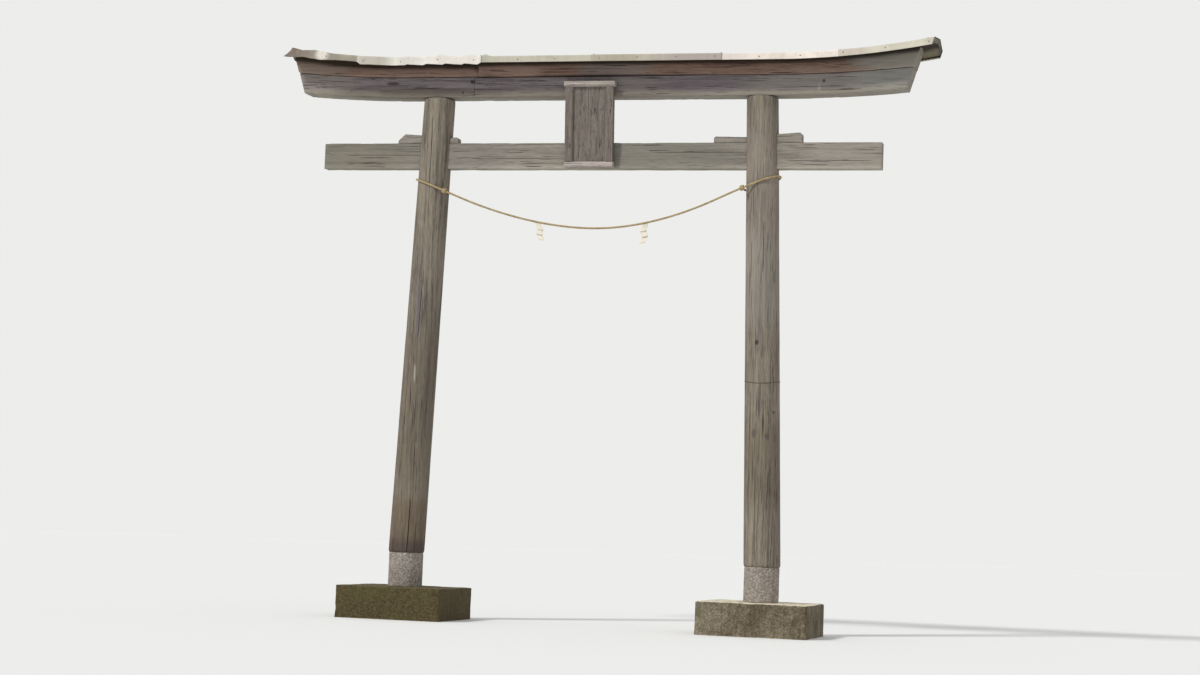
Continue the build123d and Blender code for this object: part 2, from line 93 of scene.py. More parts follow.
class GateSizes(bpy.types.PropertyGroup):
    """Sizes of the timbers, as in the model's source."""

    pillar_spacing: length("Pillar spacing", "Between the pillars' axes at their feet", 2.424)
    pillar_foot: length("Pillar foot", "Height of the pillars' feet above the ground", 0.441)
    foot_diameter: length("Foot diameter", "Of a pillar", 0.242)
    top_diameter: length("Top diameter", "Of a pillar", 0.212)
    lean: angle("Lean", "Of a pillar towards the middle", 1.81)
    head_round: length("Head rounding", "Of a pillar's upper edge", 0.020)
    foot_bevel: length("Foot bevel", "Of a pillar's lower edge", 0.005)
    beam_underside: length("Tie beam underside", "Height above the ground", 3.035)
    beam_height: length("Tie beam height", "Of its section", 0.177)
    beam_thickness: length("Tie beam thickness", "Of its section", 0.075)
    beam_length: length("Tie beam length", "From end to end", 3.834)
    lower_underside: length("Lower lintel underside", "Height above the ground", 3.518)
    lower_height: length("Lower lintel height", "Of its section", 0.137)
    lower_depth: length("Lower lintel depth", "From front to back", 0.160)
    upper_height: length("Upper lintel height", "Of its section in the middle", 0.114)
    upper_depth: length("Upper lintel depth", "From front to back", 0.190)
    lower_splice: length("Lower splice", "Place of the joint along the gate", -0.850)
    upper_splice: length("Upper splice", "Place of the joint along the gate", -0.825)
    sweep_start: length("Sweep start", "Where the lintels begin to rise", 1.250)
    under_radius: length("Underside sweep", "Radius of the lower lintel's underside", 9.340)
    ridge_radius: length("Ridge sweep", "Radius of the ridge", 5.750)
    end_slant: angle("End slant", "Of the lintels' ends", 17.0)


class RoofSizes(bpy.types.PropertyGroup):
    """Sizes of the sheet roof."""

    slope: angle("Roof slope", "To the front and the back", 7.0)
    half_length: length("Half length", "From the middle to an end, at the seam between the lintels", 2.198)
    end_overhang: length("End overhang", "Of the roof past the lintels", 0.096)
    board_half_width: length("Board half width", "From the ridge to the eave", 0.231)
    board_thickness: length("Board thickness", "Of the boards under the sheets", 0.024)
    sheet: length("Sheet thickness", "Of the solid that stands for a sheet", 0.002)
    gauge: length("Gauge", "Real thickness of the sheet metal", 0.0008)
    fascia: length("Fascia height", "Of the sheets' turned-down edges", 0.043)
    pitch: length("Sheet pitch", "Between the seams", 0.820)
    offset: length("Seam offset", "Of the middle seam", 0.030)
    lap: length("Lap", "Of a sheet over its neighbour", 0.060)
    nail_spacing: length("Nail spacing", "Along a fascia", 0.205)
    nail_head: length("Nail head", "Diameter of a roofing nail's head", 0.009)


class RopeSizes(bpy.types.PropertyGroup):
    """Sizes of the straw rope and its paper streamers."""

    length: length("Rope length", "From knot to knot, with its turns", 3.70)
    diameter: length("Rope diameter", "Over its strands", 0.014)
    gap: length("Gap", "Between rope and pillar", 0.0006)
    tilt: FloatProperty(name="Turn tilt", description="Rise of a turn for its run outwards", default=0.38)
    left_drop: length("Left drop", "Of the left turn below the tie beam", 0.115)
    right_drop: length("Right drop", "Of the right turn below the tie beam", 0.090)
    lay: length("Lay", "Length in which a strand goes once round", 0.054)
    strands: IntProperty(name="Strands", description="Of the rope", default=3)
    valley: FloatProperty(name="Valley", description="Depth between strands, of the radius", default=0.34)
    straws: IntProperty(name="Loose straws", description="Ends that stand off the rope", default=260)
    knot_diameter: length("Knot diameter", "Over its windings", 0.038)
    knot_length: length("Knot length", "Along the rope", 0.036)
    paper_width: length("Paper width", "Of a streamer", 0.040)
    left_fold: length("Left fold", "Height of one fold of the left streamer", 0.042)
    right_fold: length("Right fold", "Height of one fold of the right streamer", 0.048)
    blown: length("Blown", "Of the left streamer's lower end to the right", 0.018)
    paper_overlap: length("Paper overlap", "Of a fold over the next", 0.008)
    paper_step: length("Paper step", "Sideways, from fold to fold", 0.015)


class WedgeSizes(bpy.types.PropertyGroup):
    """Sizes of the wedges over the tie beam."""

    thickness: length("Thickness", "From front to back", 0.068)
    gap: length("Gap", "Between a tip and the middle of the pillar", 0.004)
    outer_height: length("Outer height", "At the outer wedges' ends", 0.066)
    outer_tip: length("Outer tip", "Height of the outer wedges in the middle of the pillar", 0.050)
    outer_reach: length("Outer reach", "Past the pillar", 0.158)
    inner_height: length("Inner height", "At the inner wedges' ends", 0.042)
    inner_tip: length("Inner tip", "Height of the inner wedges in the middle of the pillar", 0.034)
    left_inner_reach: length("Left inner reach", "Past the pillar", 0.054)
    right_inner_reach: length("Right inner reach", "Past the pillar", 0.214)
    bevel: length("Bevel", "Of an end's upper corner", 0.012)
    left_bevel: length("Left bevel", "Of the left outer wedge's upper corner", 0.048)


class PlaqueSizes(bpy.types.PropertyGroup):
    """Sizes of the plaque."""

    rise: length("Rise", "Of its lower edge over the tie beam's underside", 0.007)
    drop: length("Drop", "Of its upper edge under the seam between the lintels", 0.040)
    width: length("Width", "Over the stiles", 0.330)
    offset: length("Offset", "Of its middle to the left of the gate's middle", 0.033)
    depth: length("Depth", "Of the frame", 0.050)
    stile: length("Stile", "Width of an upright", 0.055)
    top_rail: length("Top rail", "Height of the upper rail", 0.037)
    bottom_rail: length("Bottom rail", "Height of the lower rail", 0.040)
    horn: length("Horn", "Of the top rail past a stile", 0.010)
    step: length("Step", "Of the rails in front of the stiles", 0.004)
    bevel: length("Bevel", "Of the frame's inner edge", 0.009)
    panel: length("Panel", "Its thickness", 0.014)
    recess: length("Recess", "Of the panel in the frame", 0.020)


class GateColours(bpy.types.PropertyGroup):
    """Colours of the weathered finishes, as the eye sees them."""

    pillar_pale: colour("Pillar, pale", "Bleached grain", 166, 157, 138)
    pillar_middle: colour("Pillar, middle", "Weathered grain", 136, 127, 113)
    pillar_dark: colour("Pillar, dark", "Violet grey streaks", 98, 90, 86)
    beam_pale: colour("Tie beam, pale", "Bleached grain", 170, 164, 152)
    beam_middle: colour("Tie beam, middle", "Weathered grain", 146, 140, 130)
    beam_dark: colour("Tie beam, dark", "Grey streaks", 118, 112, 105)
    upper_pale: colour("Upper lintel, pale", "Greyed stain", 166, 146, 132)
    upper_middle: colour("Upper lintel, middle", "Red brown stain", 148, 120, 105)
    upper_dark: colour("Upper lintel, dark", "Dark red brown streaks", 112, 88, 77)
    # Painted shade: eave_shade darkens the upper lintels' faces right under the roof's edge, where the eave
    # casts its shadow.
    eave_shade: colour("Eave shade", "Dark, damp wood under the roof's edge", 39, 30, 19)
    # lower_pale is the lower lintels' bleached grain, and also painted light on their lower edge, below the
    # roof's shadow.
    lower_pale: colour("Lower lintel, pale", "Bleached grain, and painted light on the lower edge", 150, 144, 132)
    lower_middle: colour("Lower lintel, middle", "Violet grey", 144, 136, 137)
    lower_dark: colour("Lower lintel, dark", "Violet brown streaks", 112, 102, 105)
    crack: colour("Cracks", "Inside checks and joints", 38, 34, 32)
    cream: colour("Roof, cream", "Painted sheet", 186, 182, 165)
    grey: colour("Roof, grey", "Painted sheet right of the middle", 184, 176, 160)
    white: colour("Roof, white", "Newer sheet", 228, 223, 214)
    pink: colour("Roof, pinkish", "Painted sheet at the right", 238, 227, 215)
    warm: colour("Roof, warm", "Painted sheet at the right end", 208, 202, 185)
    dull: colour("Roof, dull", "Greenish grey sheet at the left", 156, 151, 134)
    dirt: colour("Roof dirt", "Stains on the sheets", 128, 120, 106)
    # Painted shade: the flashings' dull dark tone is partly shade on the roof's ends; the rim colour darkens
    # their rear half and bottom, and partly stands for shade on the sheets' undersides.
    flashing: colour("Flashing", "Strips at the ends", 96, 90, 72)
    rim: colour("Flashing rim", "Painted shade on the strips' edges and the sheets' undersides", 44, 38, 32)
    # Painted shade: the boards under the sheets take these dark tones for the shade under the roof.
    soffit_pale: colour("Soffit, pale", "Boards under the sheets", 72, 62, 53)
    soffit_middle: colour("Soffit, middle", "Boards under the sheets", 54, 46, 39)
    soffit_dark: colour("Soffit, dark", "Boards under the sheets", 38, 32, 28)
    # Painted light and shade: concrete_pale lights the upper faces of the right footing, and concrete_dark
    # shades its sides.
    concrete_pale: colour("Concrete, pale", "Upper faces", 234, 223, 198)
    concrete_dark: colour("Concrete, dark", "Sides in painted shade", 91, 80, 61)
    soil: colour("Soil", "Dark, damp concrete at the left", 84, 74, 50)
    end_grain: colour("End grain", "Bleached ends of the beams", 156, 150, 137)
    plinth: colour("Plinth", "Lavender grey concrete", 190, 180, 170)
    moss: colour("Moss", "On the footings", 84, 84, 44)
    straw_pale: colour("Straw, pale", "Rope", 196, 176, 134)
    straw_dark: colour("Straw, dark", "Rope", 132, 112, 80)
    paper: colour("Paper", "Streamers", 230, 222, 204)
    plaque_pale: colour("Plaque, pale", "Bleached grain", 188, 178, 171)
    plaque_middle: colour("Plaque, middle", "Weathered grain", 130, 122, 113)
    plaque_dark: colour("Plaque, dark", "Grey streaks", 107, 98, 93)
    floor: colour("Floor", "Studio floor and backdrop", 236, 236, 234)


# Relief: smooth random values, all seeded


class Relief:
    """Smooth random values on a net that closes on itself across, the same on each run."""

    def __init__(self, seed):
        self.random = np.random.default_rng(seed)

    def field(self, u, v, across, along):
        """Values from -1 to 1 at u and v from 0 to 1, on a net of across by along cells."""
        net = self.random.uniform(-1.0, 1.0, (along + 2, across))
        x, y = np.mod(u, 1.0) * across, np.clip(v, 0.0, 1.0) * along
        column, row = np.floor(x).astype(int), np.floor(y).astype(int)
        s, t = x - column, y - row
        s, t = s * s * (3 - 2 * s), t * t * (3 - 2 * t)
        left, right = column % across, (column + 1) % across
        lower = net[row, left] * (1 - s) + net[row, right] * s
        upper = net[row + 1, left] * (1 - s) + net[row + 1, right] * s
        return lower * (1 - t) + upper * t

    def layers(self, u, v, across, along, count=3):
        """A sum of fields, each finer and fainter than the one before."""
        total, share = 0.0, 0.0
        for layer in range(count):
            total = total + self.field(u, v, across * 2**layer, along * 2**layer) / 2**layer
            share += 1 / 2**layer
        return total / share


def smooth_step(value, low, high):
    """0 below low, 1 above high, and smooth between them."""
    share = np.clip((value - low) / (high - low), 0.0, 1.0)
    return share * share * (3 - 2 * share)


# Meshes


def net_faces(rows, columns, closed=True, start=0):
    """Quads of a net of vertices, row by row, that closes on itself across."""
    across = np.arange(columns if closed else columns - 1)
    row, column = np.meshgrid(np.arange(rows - 1), across, indexing="ij")
    beside = (column + 1) % columns
    lower, upper = row * columns, (row + 1) * columns
    quads = np.stack([lower + column, lower + beside, upper + beside, upper + column], -1)
    return (quads.reshape(-1, 4) + start).tolist()


def closing_faces(rows, columns, rings):
    """Faces that close both ends of a net: rings of quads, whose points follow the net's, and a middle."""
    faces = []
    k = np.arange(columns)
    beside = (k + 1) % columns
    for last, row in ((0, 0), (1, rows - 1)):
        steps = columns * np.array([row] + [rows + last * rings + ring for ring in range(rings)])
        for outer, inner in zip(steps, steps[1:]):
            quads = np.stack([outer + k, inner + k, inner + beside, outer + beside], -1)
            faces += (quads[:, ::-1] if last else quads).tolist()
        middle = (steps[-1] + k).tolist()
        faces.append(middle if last else middle[::-1])
    return faces


def new_mesh(name, points, faces, uv=None, marks=None, sharp=35.0):
    """A mesh object from arrays, smooth except where it turns more than sharp degrees."""
    mesh = bpy.data.meshes.new(name)
    mesh.from_pydata(np.asarray(points, float).reshape(-1, 3).tolist(), [], faces)
    for label, values in (marks or {}).items():
        layer = mesh.attributes.new(label, "FLOAT", "POINT")
        layer.data.foreach_set("value", np.asarray(values, np.float32).ravel())
    if uv is not None:
        corners = np.zeros(len(mesh.loops), int)
        mesh.loops.foreach_get("vertex_index", corners)
        layer = mesh.uv_layers.new(name="UVMap")
        layer.data.foreach_set("uv", np.asarray(uv, np.float32).reshape(-1, 2)[corners].ravel())
    mesh.shade_smooth()
    mesh.set_sharp_from_angle(angle=math.radians(sharp))
    return linked(name, mesh)


def linked(name, data):
    """A new object in the scene that holds the data."""
    piece = bpy.data.objects.new(name, data)
    bpy.context.scene.collection.objects.link(piece)
    return piece


def evaluated(piece):
    """A plain mesh of a piece with its modifiers, or of a curve's line."""
    graph = bpy.context.evaluated_depsgraph_get()
    return bpy.data.meshes.new_from_object(piece.evaluated_get(graph), depsgraph=graph)


def applied(piece):
    """The piece with its modifiers turned into plain mesh."""
    mesh = evaluated(piece)
    piece.modifiers.clear()
    piece.data = mesh
    mesh.name = piece.name
    return piece


def thicken(piece, thickness, side, material=0):
    """Gives a surface its thickness, half to each side where side is 0, and its new faces a material."""
    wall = piece.modifiers.new("thickness", "SOLIDIFY")
    wall.thickness, wall.offset = thickness, side
    wall.material_offset = wall.material_offset_rim = material
    applied(piece)


def dress(piece, material, slot, *nodes):
    """Gives a piece its finish, lets it ride on the gate and stand for its solids."""
    if material is not None:
        piece.data.materials.clear()
        piece.data.materials.append(material)
    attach(piece, "root")
    if nodes:
        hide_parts(*nodes)
    return piece


def timber(
    name, outline, place, stations, columns, seed, cracks=(), scale=None, edge=0.003, rough=0.0012, wear=0.0
):
    """A closed skin of weathered timber that never leaves its solid.

    outline(u) gives a section's points and outward normals, scale(t) its size along the length, and
    place(t, a, b) turns them into points of the gate. A crack is (column, from, to, width, depth): a column
    of the net pushed in, with its neighbours drawn close. The ends are rounded by edge and closed by rings.
    """
    relief = Relief(seed)
    first, last = stations[0], stations[-1]
    near = (stations[1] - stations[0]) * 0.9
    slide = np.array([0.0, 0.12, 0.45, 1.0])
    t = np.concatenate([first + slide * near * 0.12, stations[1:-1], last - slide[::-1] * near * 0.12])
    rows = len(t)
    inset = np.zeros(rows)
    inset[:4] = edge * np.array([1.0, 0.55, 0.2, 0.0])
    inset[-4:] = inset[3::-1]
    depth, pull, mark = np.zeros((3, rows, columns))
    pitch = outline.perimeter / columns
    for where, start, end, width, cut in cracks:
        share = np.clip((t - start) / (end - start), 0.0, 1.0)
        wobble = 0.75 + 0.25 * relief.field(np.zeros(rows), t, 4, 60)
        shape = np.clip(np.sqrt(np.sin(np.pi * share)) * wobble, 0.0, 1.0)
        close = np.clip(shape * 4, 0.0, 1.0) * (1 - width / 2 / pitch)
        depth[:, where] += cut * shape
        mark[:, where] = np.maximum(mark[:, where], np.clip(shape * 1.6, 0.0, 1.0))
        pull[:, (where - 1) % columns] += close
        pull[:, (where + 1) % columns] -= close
    u = (np.arange(columns) + pull) / columns
    v = np.broadcast_to(t[:, None], u.shape)
    a, b, na, nb = outline(u)
    bulk = 0.5 + 0.5 * relief.layers(u, v, 5, 9)
    grain = np.abs(relief.layers(u, v, int(columns / 2.5), 14))
    sunk = rough * (0.2 + 0.9 * bulk + 0.8 * grain)
    if wear:
        corner = np.clip(outline.corner(u), 0.0, 1.0)
        sunk = sunk + wear * corner * smooth_step(relief.layers(u, v, max(columns // 5, 4), 40), 0.0, 0.8)
    sunk = sunk + depth + inset[:, None]
    size = np.ones(rows) if scale is None else scale(t)
    a, b = a * size[:, None] - na * sunk, b * size[:, None] - nb * sunk
    points, levels = [place(v, a, b)], [b]
    centre_a, centre_b = outline.centre
    rings = (0.93, 0.8, 0.62, 0.42, 0.22, 0.06)
    for end, row, inward in ((first, 0, 1.0), (last, -1, -1.0)):
        for ring in rings:
            ring_a = centre_a + (a[row] - centre_a) * ring
            ring_b = centre_b + (b[row] - centre_b) * ring
            dish = 0.5 + 0.5 * relief.field(u[row], np.full(columns, ring), 24, 3)
            station = np.clip(end + inward * 0.03 * dish * near / (last - first), 0.0, 1.0)
            points.append(place(station[None, :], ring_a[None, :], ring_b[None, :]))
            levels.append(ring_b[None, :])
    points = np.concatenate([p.reshape(-1, columns, 3) for p in points])
    level = np.concatenate(levels)
    crack, ends = np.zeros((2, *level.shape))
    crack[:rows], ends[rows:] = mark, 1.0
    marks = {"crack": crack, "end": ends, "level": (level - level.min()) / np.ptp(level)}
    faces = net_faces(rows, columns) + closing_faces(rows, columns, len(rings))
    return new_mesh(name, points, faces, marks=marks)


class Outline:
    """A closed section given by its corners, with rounded edges, read by the share of its perimeter."""

    def __init__(self, corners, radius):
        points, corner = [], []
        count = len(corners)
        for k in range(count):
            here, before, after = (np.array(corners[i % count], float) for i in (k, k - 1, k + 1))
            back, ahead = before - here, after - here
            back, ahead = back / np.linalg.norm(back), ahead / np.linalg.norm(ahead)
            half = math.acos(np.clip(back @ ahead, -1, 1)) / 2
            cut = radius / math.tan(half) if half < 1.5 else radius * 0.2
            for share in np.linspace(0, 1, 5):
                start, end = here + back * cut, here + ahead * cut
                points.append((1 - share) ** 2 * start + 2 * share * (1 - share) * here + share**2 * end)
                corner.append(1.0 if half < 1.5 else 0.0)
        points.append(points[0])
        corner.append(corner[0])
        self.points = np.array(points)
        steps = np.linalg.norm(np.diff(self.points, axis=0), axis=1)
        self.perimeter = steps.sum()
        self.share = np.concatenate([[0], np.cumsum(steps)]) / self.perimeter
        self.corner_at = np.array(corner)
        tangent = np.roll(self.points[:-1], -1, 0) - np.roll(self.points[:-1], 1, 0)
        normal = np.stack([tangent[:, 1], -tangent[:, 0]], 1)
        normal /= np.linalg.norm(normal, axis=1)[:, None]
        self.normal = np.concatenate([normal, normal[:1]])
        self.centre = ((self.points[:, 0].min() + self.points[:, 0].max()) / 2, self.points[:-1, 1].mean())

    def __call__(self, u):
        return [np.interp(np.mod(u, 1.0), self.share, column) for column in (*self.points.T, *self.normal.T)]

    def corner(self, u):
        """1 on the section's edges and 0 on its faces."""
        return np.interp(np.mod(u, 1.0), self.share, self.corner_at)


class Round:
    """A round section of radius 1 that starts at the back and runs past the left, the front and the right."""

    centre = (0.0, 0.0)

    def __init__(self, radius):
        self.perimeter = 2 * math.pi * radius

    def __call__(self, u):
        turn = 2 * np.pi * u
        return -np.sin(turn), np.cos(turn), -np.sin(turn), np.cos(turn)

    def corner(self, u):
        """A round section has no edges."""
        return np.zeros_like(u)


# Finishes


def feed(node, values):
    """Sets a node's inputs, each to a value or to another node's output."""
    for socket, value in values.items():
        if isinstance(value, bpy.types.NodeSocket):
            node.id_data.links.new(value, node.inputs[socket])
        elif node.inputs[socket].type == "RGBA" and len(value) == 3:
            node.inputs[socket].default_value = (*value, 1.0)
        else:
            node.inputs[socket].default_value = value


def put_node(tree, kind, values, **settings):
    """Adds a node with its settings and its inputs."""
    node = tree.nodes.new(kind)
    for setting, value in settings.items():
        setattr(node, setting, value)
    feed(node, values)
    return node


class Finish:
    """A material's nodes, with short calls for what each finish needs."""

    def __init__(self, name):
        self.material = bpy.data.materials.new(name)
        self.material.use_nodes = True
        self.tree = self.material.node_tree
        self.shader = self.tree.nodes["Principled BSDF"]
        self.place = self.tree.nodes.new("ShaderNodeTexCoord").outputs["Object"]

    def put(self, kind, values, **settings):
        """Adds a shader node to the material."""
        return put_node(self.tree, "ShaderNode" + kind, values, **settings)

    def stretch(self, scale=(1.0, 1.0, 1.0), vector=None, shift=(0.0, 0.0, 0.0)):
        """Coordinates multiplied along each axis."""
        vector = self.place if vector is None else vector
        return self.put("Mapping", {"Vector": vector, "Scale": scale, "Location": shift}).outputs[0]

    def noise(self, vector, scale, detail=4.0, roughness=0.55, distortion=0.0):
        """Cloudy noise from 0 to 1."""
        values = {"Scale": scale, "Detail": detail, "Roughness": roughness, "Distortion": distortion}
        return self.put("TexNoise", {"Vector": vector, **values}).outputs[0]

    def cells(self, vector, scale):
        """The outputs of a pattern of cells."""
        values = {"Vector": vector, "Scale": scale, "Randomness": 1.0}
        return self.put("TexVoronoi", values, feature="F1").outputs

    def band(self, value, low, high, start=0.0, end=1.0):
        """Value from low to high as start to end, kept between them."""
        values = {0: value, 1: low, 2: high, 3: start, 4: end}
        return self.put("MapRange", values, interpolation_type="SMOOTHSTEP").outputs[0]

    def mix(self, share, first, second, blend="MIX"):
        """Two colours mixed by share."""
        node = self.put("Mix", {0: share, 6: first, 7: second}, data_type="RGBA", blend_type=blend)
        return node.outputs[2]

    def math(self, operation, first, second=0.0):
        """Two numbers put together."""
        return self.put("Math", {0: first, 1: second}, operation=operation).outputs[0]

    def times(self, first, second):
        """Two numbers multiplied."""
        return self.math("MULTIPLY", first, second)

    def attribute(self, name):
        """A value kept on the piece's points."""
        return self.put("Attribute", {}, attribute_name=name).outputs["Fac"]

    def axis(self, name, vector=None):
        """One coordinate."""
        node = self.put("SeparateXYZ", {0: self.place if vector is None else vector})
        return node.outputs[name]

    def spot(self, centre, size, near, far):
        """1 within near of a centre, 0 past far, in units of size along each axis."""
        moved = self.put("VectorMath", {0: self.place, 1: centre}, operation="SUBTRACT").outputs[0]
        scaled = self.put("VectorMath", {0: moved, 1: size}, operation="DIVIDE").outputs[0]
        distance = self.put("VectorMath", {0: scaled}, operation="LENGTH").outputs["Value"]
        return self.band(distance, near, far, 1.0, 0.0)

    def finish(self, base, rough, height=None, depth=0.001, specular=0.3):
        """Joins colour, roughness and relief to the shader."""
        values = {"Base Color": base, "Roughness": rough, "Specular IOR Level": specular}
        if height is not None:
            bump = self.put("Bump", {"Height": height, "Distance": depth, "Strength": 1.0})
            values["Normal"] = bump.outputs[0]
        feed(self.shader, values)
        return self.material


def timber_finish(
    name, axis, pale, middle, dark, crack, seed, edge=None, shade=None, stains_and_shading=(), cloudy=0.6,
    ends=None, heart=None,
):
    """Weathered timber with grain along an axis: bleached and dark streaks, fibres, checks and open cracks.

    edge and shade are (from, to, colour): bands that follow the timber, by the share of its section's
    height; shade is painted shade. The (centre, size, colour, share) spots, in colours from 0 to 255, are
    mostly stains, with some painted shade and painted light among them. ends is the colour of the end
    grain, and heart a point on the pith that its growth rings go round.
    """
    paint = Finish(name)
    shift = (seed * 3.7, seed * 1.9, seed * 5.3)

    def grain(lengthwise, crosswise):
        return paint.stretch(tuple(lengthwise if k == axis else crosswise for k in "XYZ"), shift=shift)

    clouds = paint.noise(grain(0.8, 4.6), 1.5, 7.0, 0.6, 0.12)
    streaks = paint.noise(grain(1.3, 44.0), 1.3, 8.0, 0.68, 0.25)
    fibres = paint.noise(grain(9.0, 260.0), 1.7, 5.0, 0.65)
    hairs = paint.noise(grain(1.6, 90.0), 1.6, 2.0, 0.5, 0.1)
    specks = paint.noise(paint.stretch(shift=shift), 46.0, 6.0, 0.72)
    tone = paint.mix(paint.band(streaks, 0.36, 0.60), dark, middle)
    tone = paint.mix(paint.times(paint.band(clouds, 0.40, 0.70), cloudy), tone, pale)
    drift = paint.times(paint.math("SUBTRACT", clouds, 0.5), 0.4)
    where = paint.math("ADD", paint.attribute("level"), drift)
    if edge is not None:
        tone = paint.mix(paint.band(where, edge[0], edge[1]), tone, edge[2])
    tone = paint.mix(paint.band(fibres, 0.30, 0.62, 0.42, 0.0), tone, dark, "MULTIPLY")
    tone = paint.mix(paint.band(fibres, 0.50, 0.74, 0.0, 0.45), tone, pale)
    tone = paint.mix(paint.band(specks, 0.60, 0.74, 0.0, 0.25), tone, pale)
    for centre, size, tint, share in stains_and_shading:
        tone = paint.mix(paint.times(paint.spot(centre, size, 0.55, 1.15), share), tone, linear(*tint))
    if shade is not None:
        tone = paint.mix(paint.band(where, shade[0], shade[1], 0.0, 0.9), tone, shade[2])
    check = paint.band(hairs, 0.325, 0.365, 0.75, 0.0)
    tone = paint.mix(check, tone, crack)
    end = paint.attribute("end")
    bleached = middle if ends is None else ends
    face = paint.mix(paint.band(specks, 0.30, 0.62), shaded(bleached, 0.62), bleached)
    height = paint.math("ADD", paint.times(fibres, 0.5), paint.times(streaks, 1.1))
    height = paint.math("SUBTRACT", height, paint.times(check, 1.2))
    if heart is not None:
        rings = growth_rings(paint, axis, heart, specks)
        face = paint.mix(paint.times(rings, 0.5), face, shaded(bleached, 0.35))
        height = paint.math("SUBTRACT", height, paint.times(paint.times(rings, end), 0.6))
    tone = paint.mix(paint.times(end, 0.85), tone, face)
    tone = paint.mix(paint.band(paint.attribute("crack"), 0.05, 0.75), tone, crack)
    rough = paint.band(streaks, 0.3, 0.7, 0.92, 0.78)
    return paint.finish(tone, rough, height, 0.0016, 0.22)


def growth_rings(paint, axis, heart, wander):
    """Late wood's dark rings on an end, 5 mm apart and not quite round, and checks that leave the pith."""
    moved = paint.put("VectorMath", {0: paint.place, 1: heart}, operation="SUBTRACT").outputs[0]
    across = tuple(0.0 if k == axis else 1.0 for k in "XYZ")
    flat = paint.put("VectorMath", {0: moved, 1: across}, operation="MULTIPLY").outputs[0]
    reach = paint.put("VectorMath", {0: flat}, operation="LENGTH").outputs["Value"]
    reach = paint.math("ADD", reach, paint.times(wander, 0.010))
    wave = paint.math("SINE", paint.times(reach, 2 * math.pi / 0.005))
    first, second = [k for k in "XYZ" if k != axis]
    turn = paint.math("ARCTAN2", paint.axis(second, flat), paint.axis(first, flat))
    spokes = paint.put("CombineXYZ", {0: paint.times(turn, 3.2), 1: paint.times(reach, 2.0)}).outputs[0]
    checks = paint.noise(spokes, 4.0, 2.0, 0.5)
    late = paint.band(wave, 0.1, 0.95, 0.0, 0.7)
    return paint.math("MAXIMUM", late, paint.band(checks, 0.36, 0.31, 0.0, 1.0))


def sheet_finish(name, tone, dirt, seed, dirty=0.5, spots=()):
    """Painted roof sheet: chalky, with dirt run down its edges, and spots, some of them painted shade and
    highlight.
    """
    paint = Finish(name)
    uv = paint.put("UVMap", {}).outputs[0]
    shift = (seed * 2.3, seed * 1.1, 0.0)
    runs = paint.noise(paint.stretch((48.0, 4.0, 1.0), uv, shift), 1.0, 6.0, 0.68)
    clouds = paint.noise(paint.stretch(shift=(seed, 0.0, 0.0)), 5.5, 7.0, 0.66)
    specks = paint.noise(paint.place, 160.0, 3.0, 0.6)
    base = paint.mix(paint.band(clouds, 0.30, 0.58), shaded(tone, 0.78), tone)
    for centre, size, tint, share in spots:
        base = paint.mix(paint.times(paint.spot(centre, size, 0.35, 1.15), share), base, linear(*tint))
    base = paint.mix(paint.times(paint.band(runs, 0.46, 0.76), dirty), base, dirt)
    base = paint.mix(paint.band(specks, 0.66, 0.74, 0.0, 0.35), base, dirt)
    height = paint.math("ADD", clouds, paint.times(specks, 0.08))
    return paint.finish(base, paint.band(clouds, 0.3, 0.7, 0.62, 0.44), height, 0.0025, 0.4)


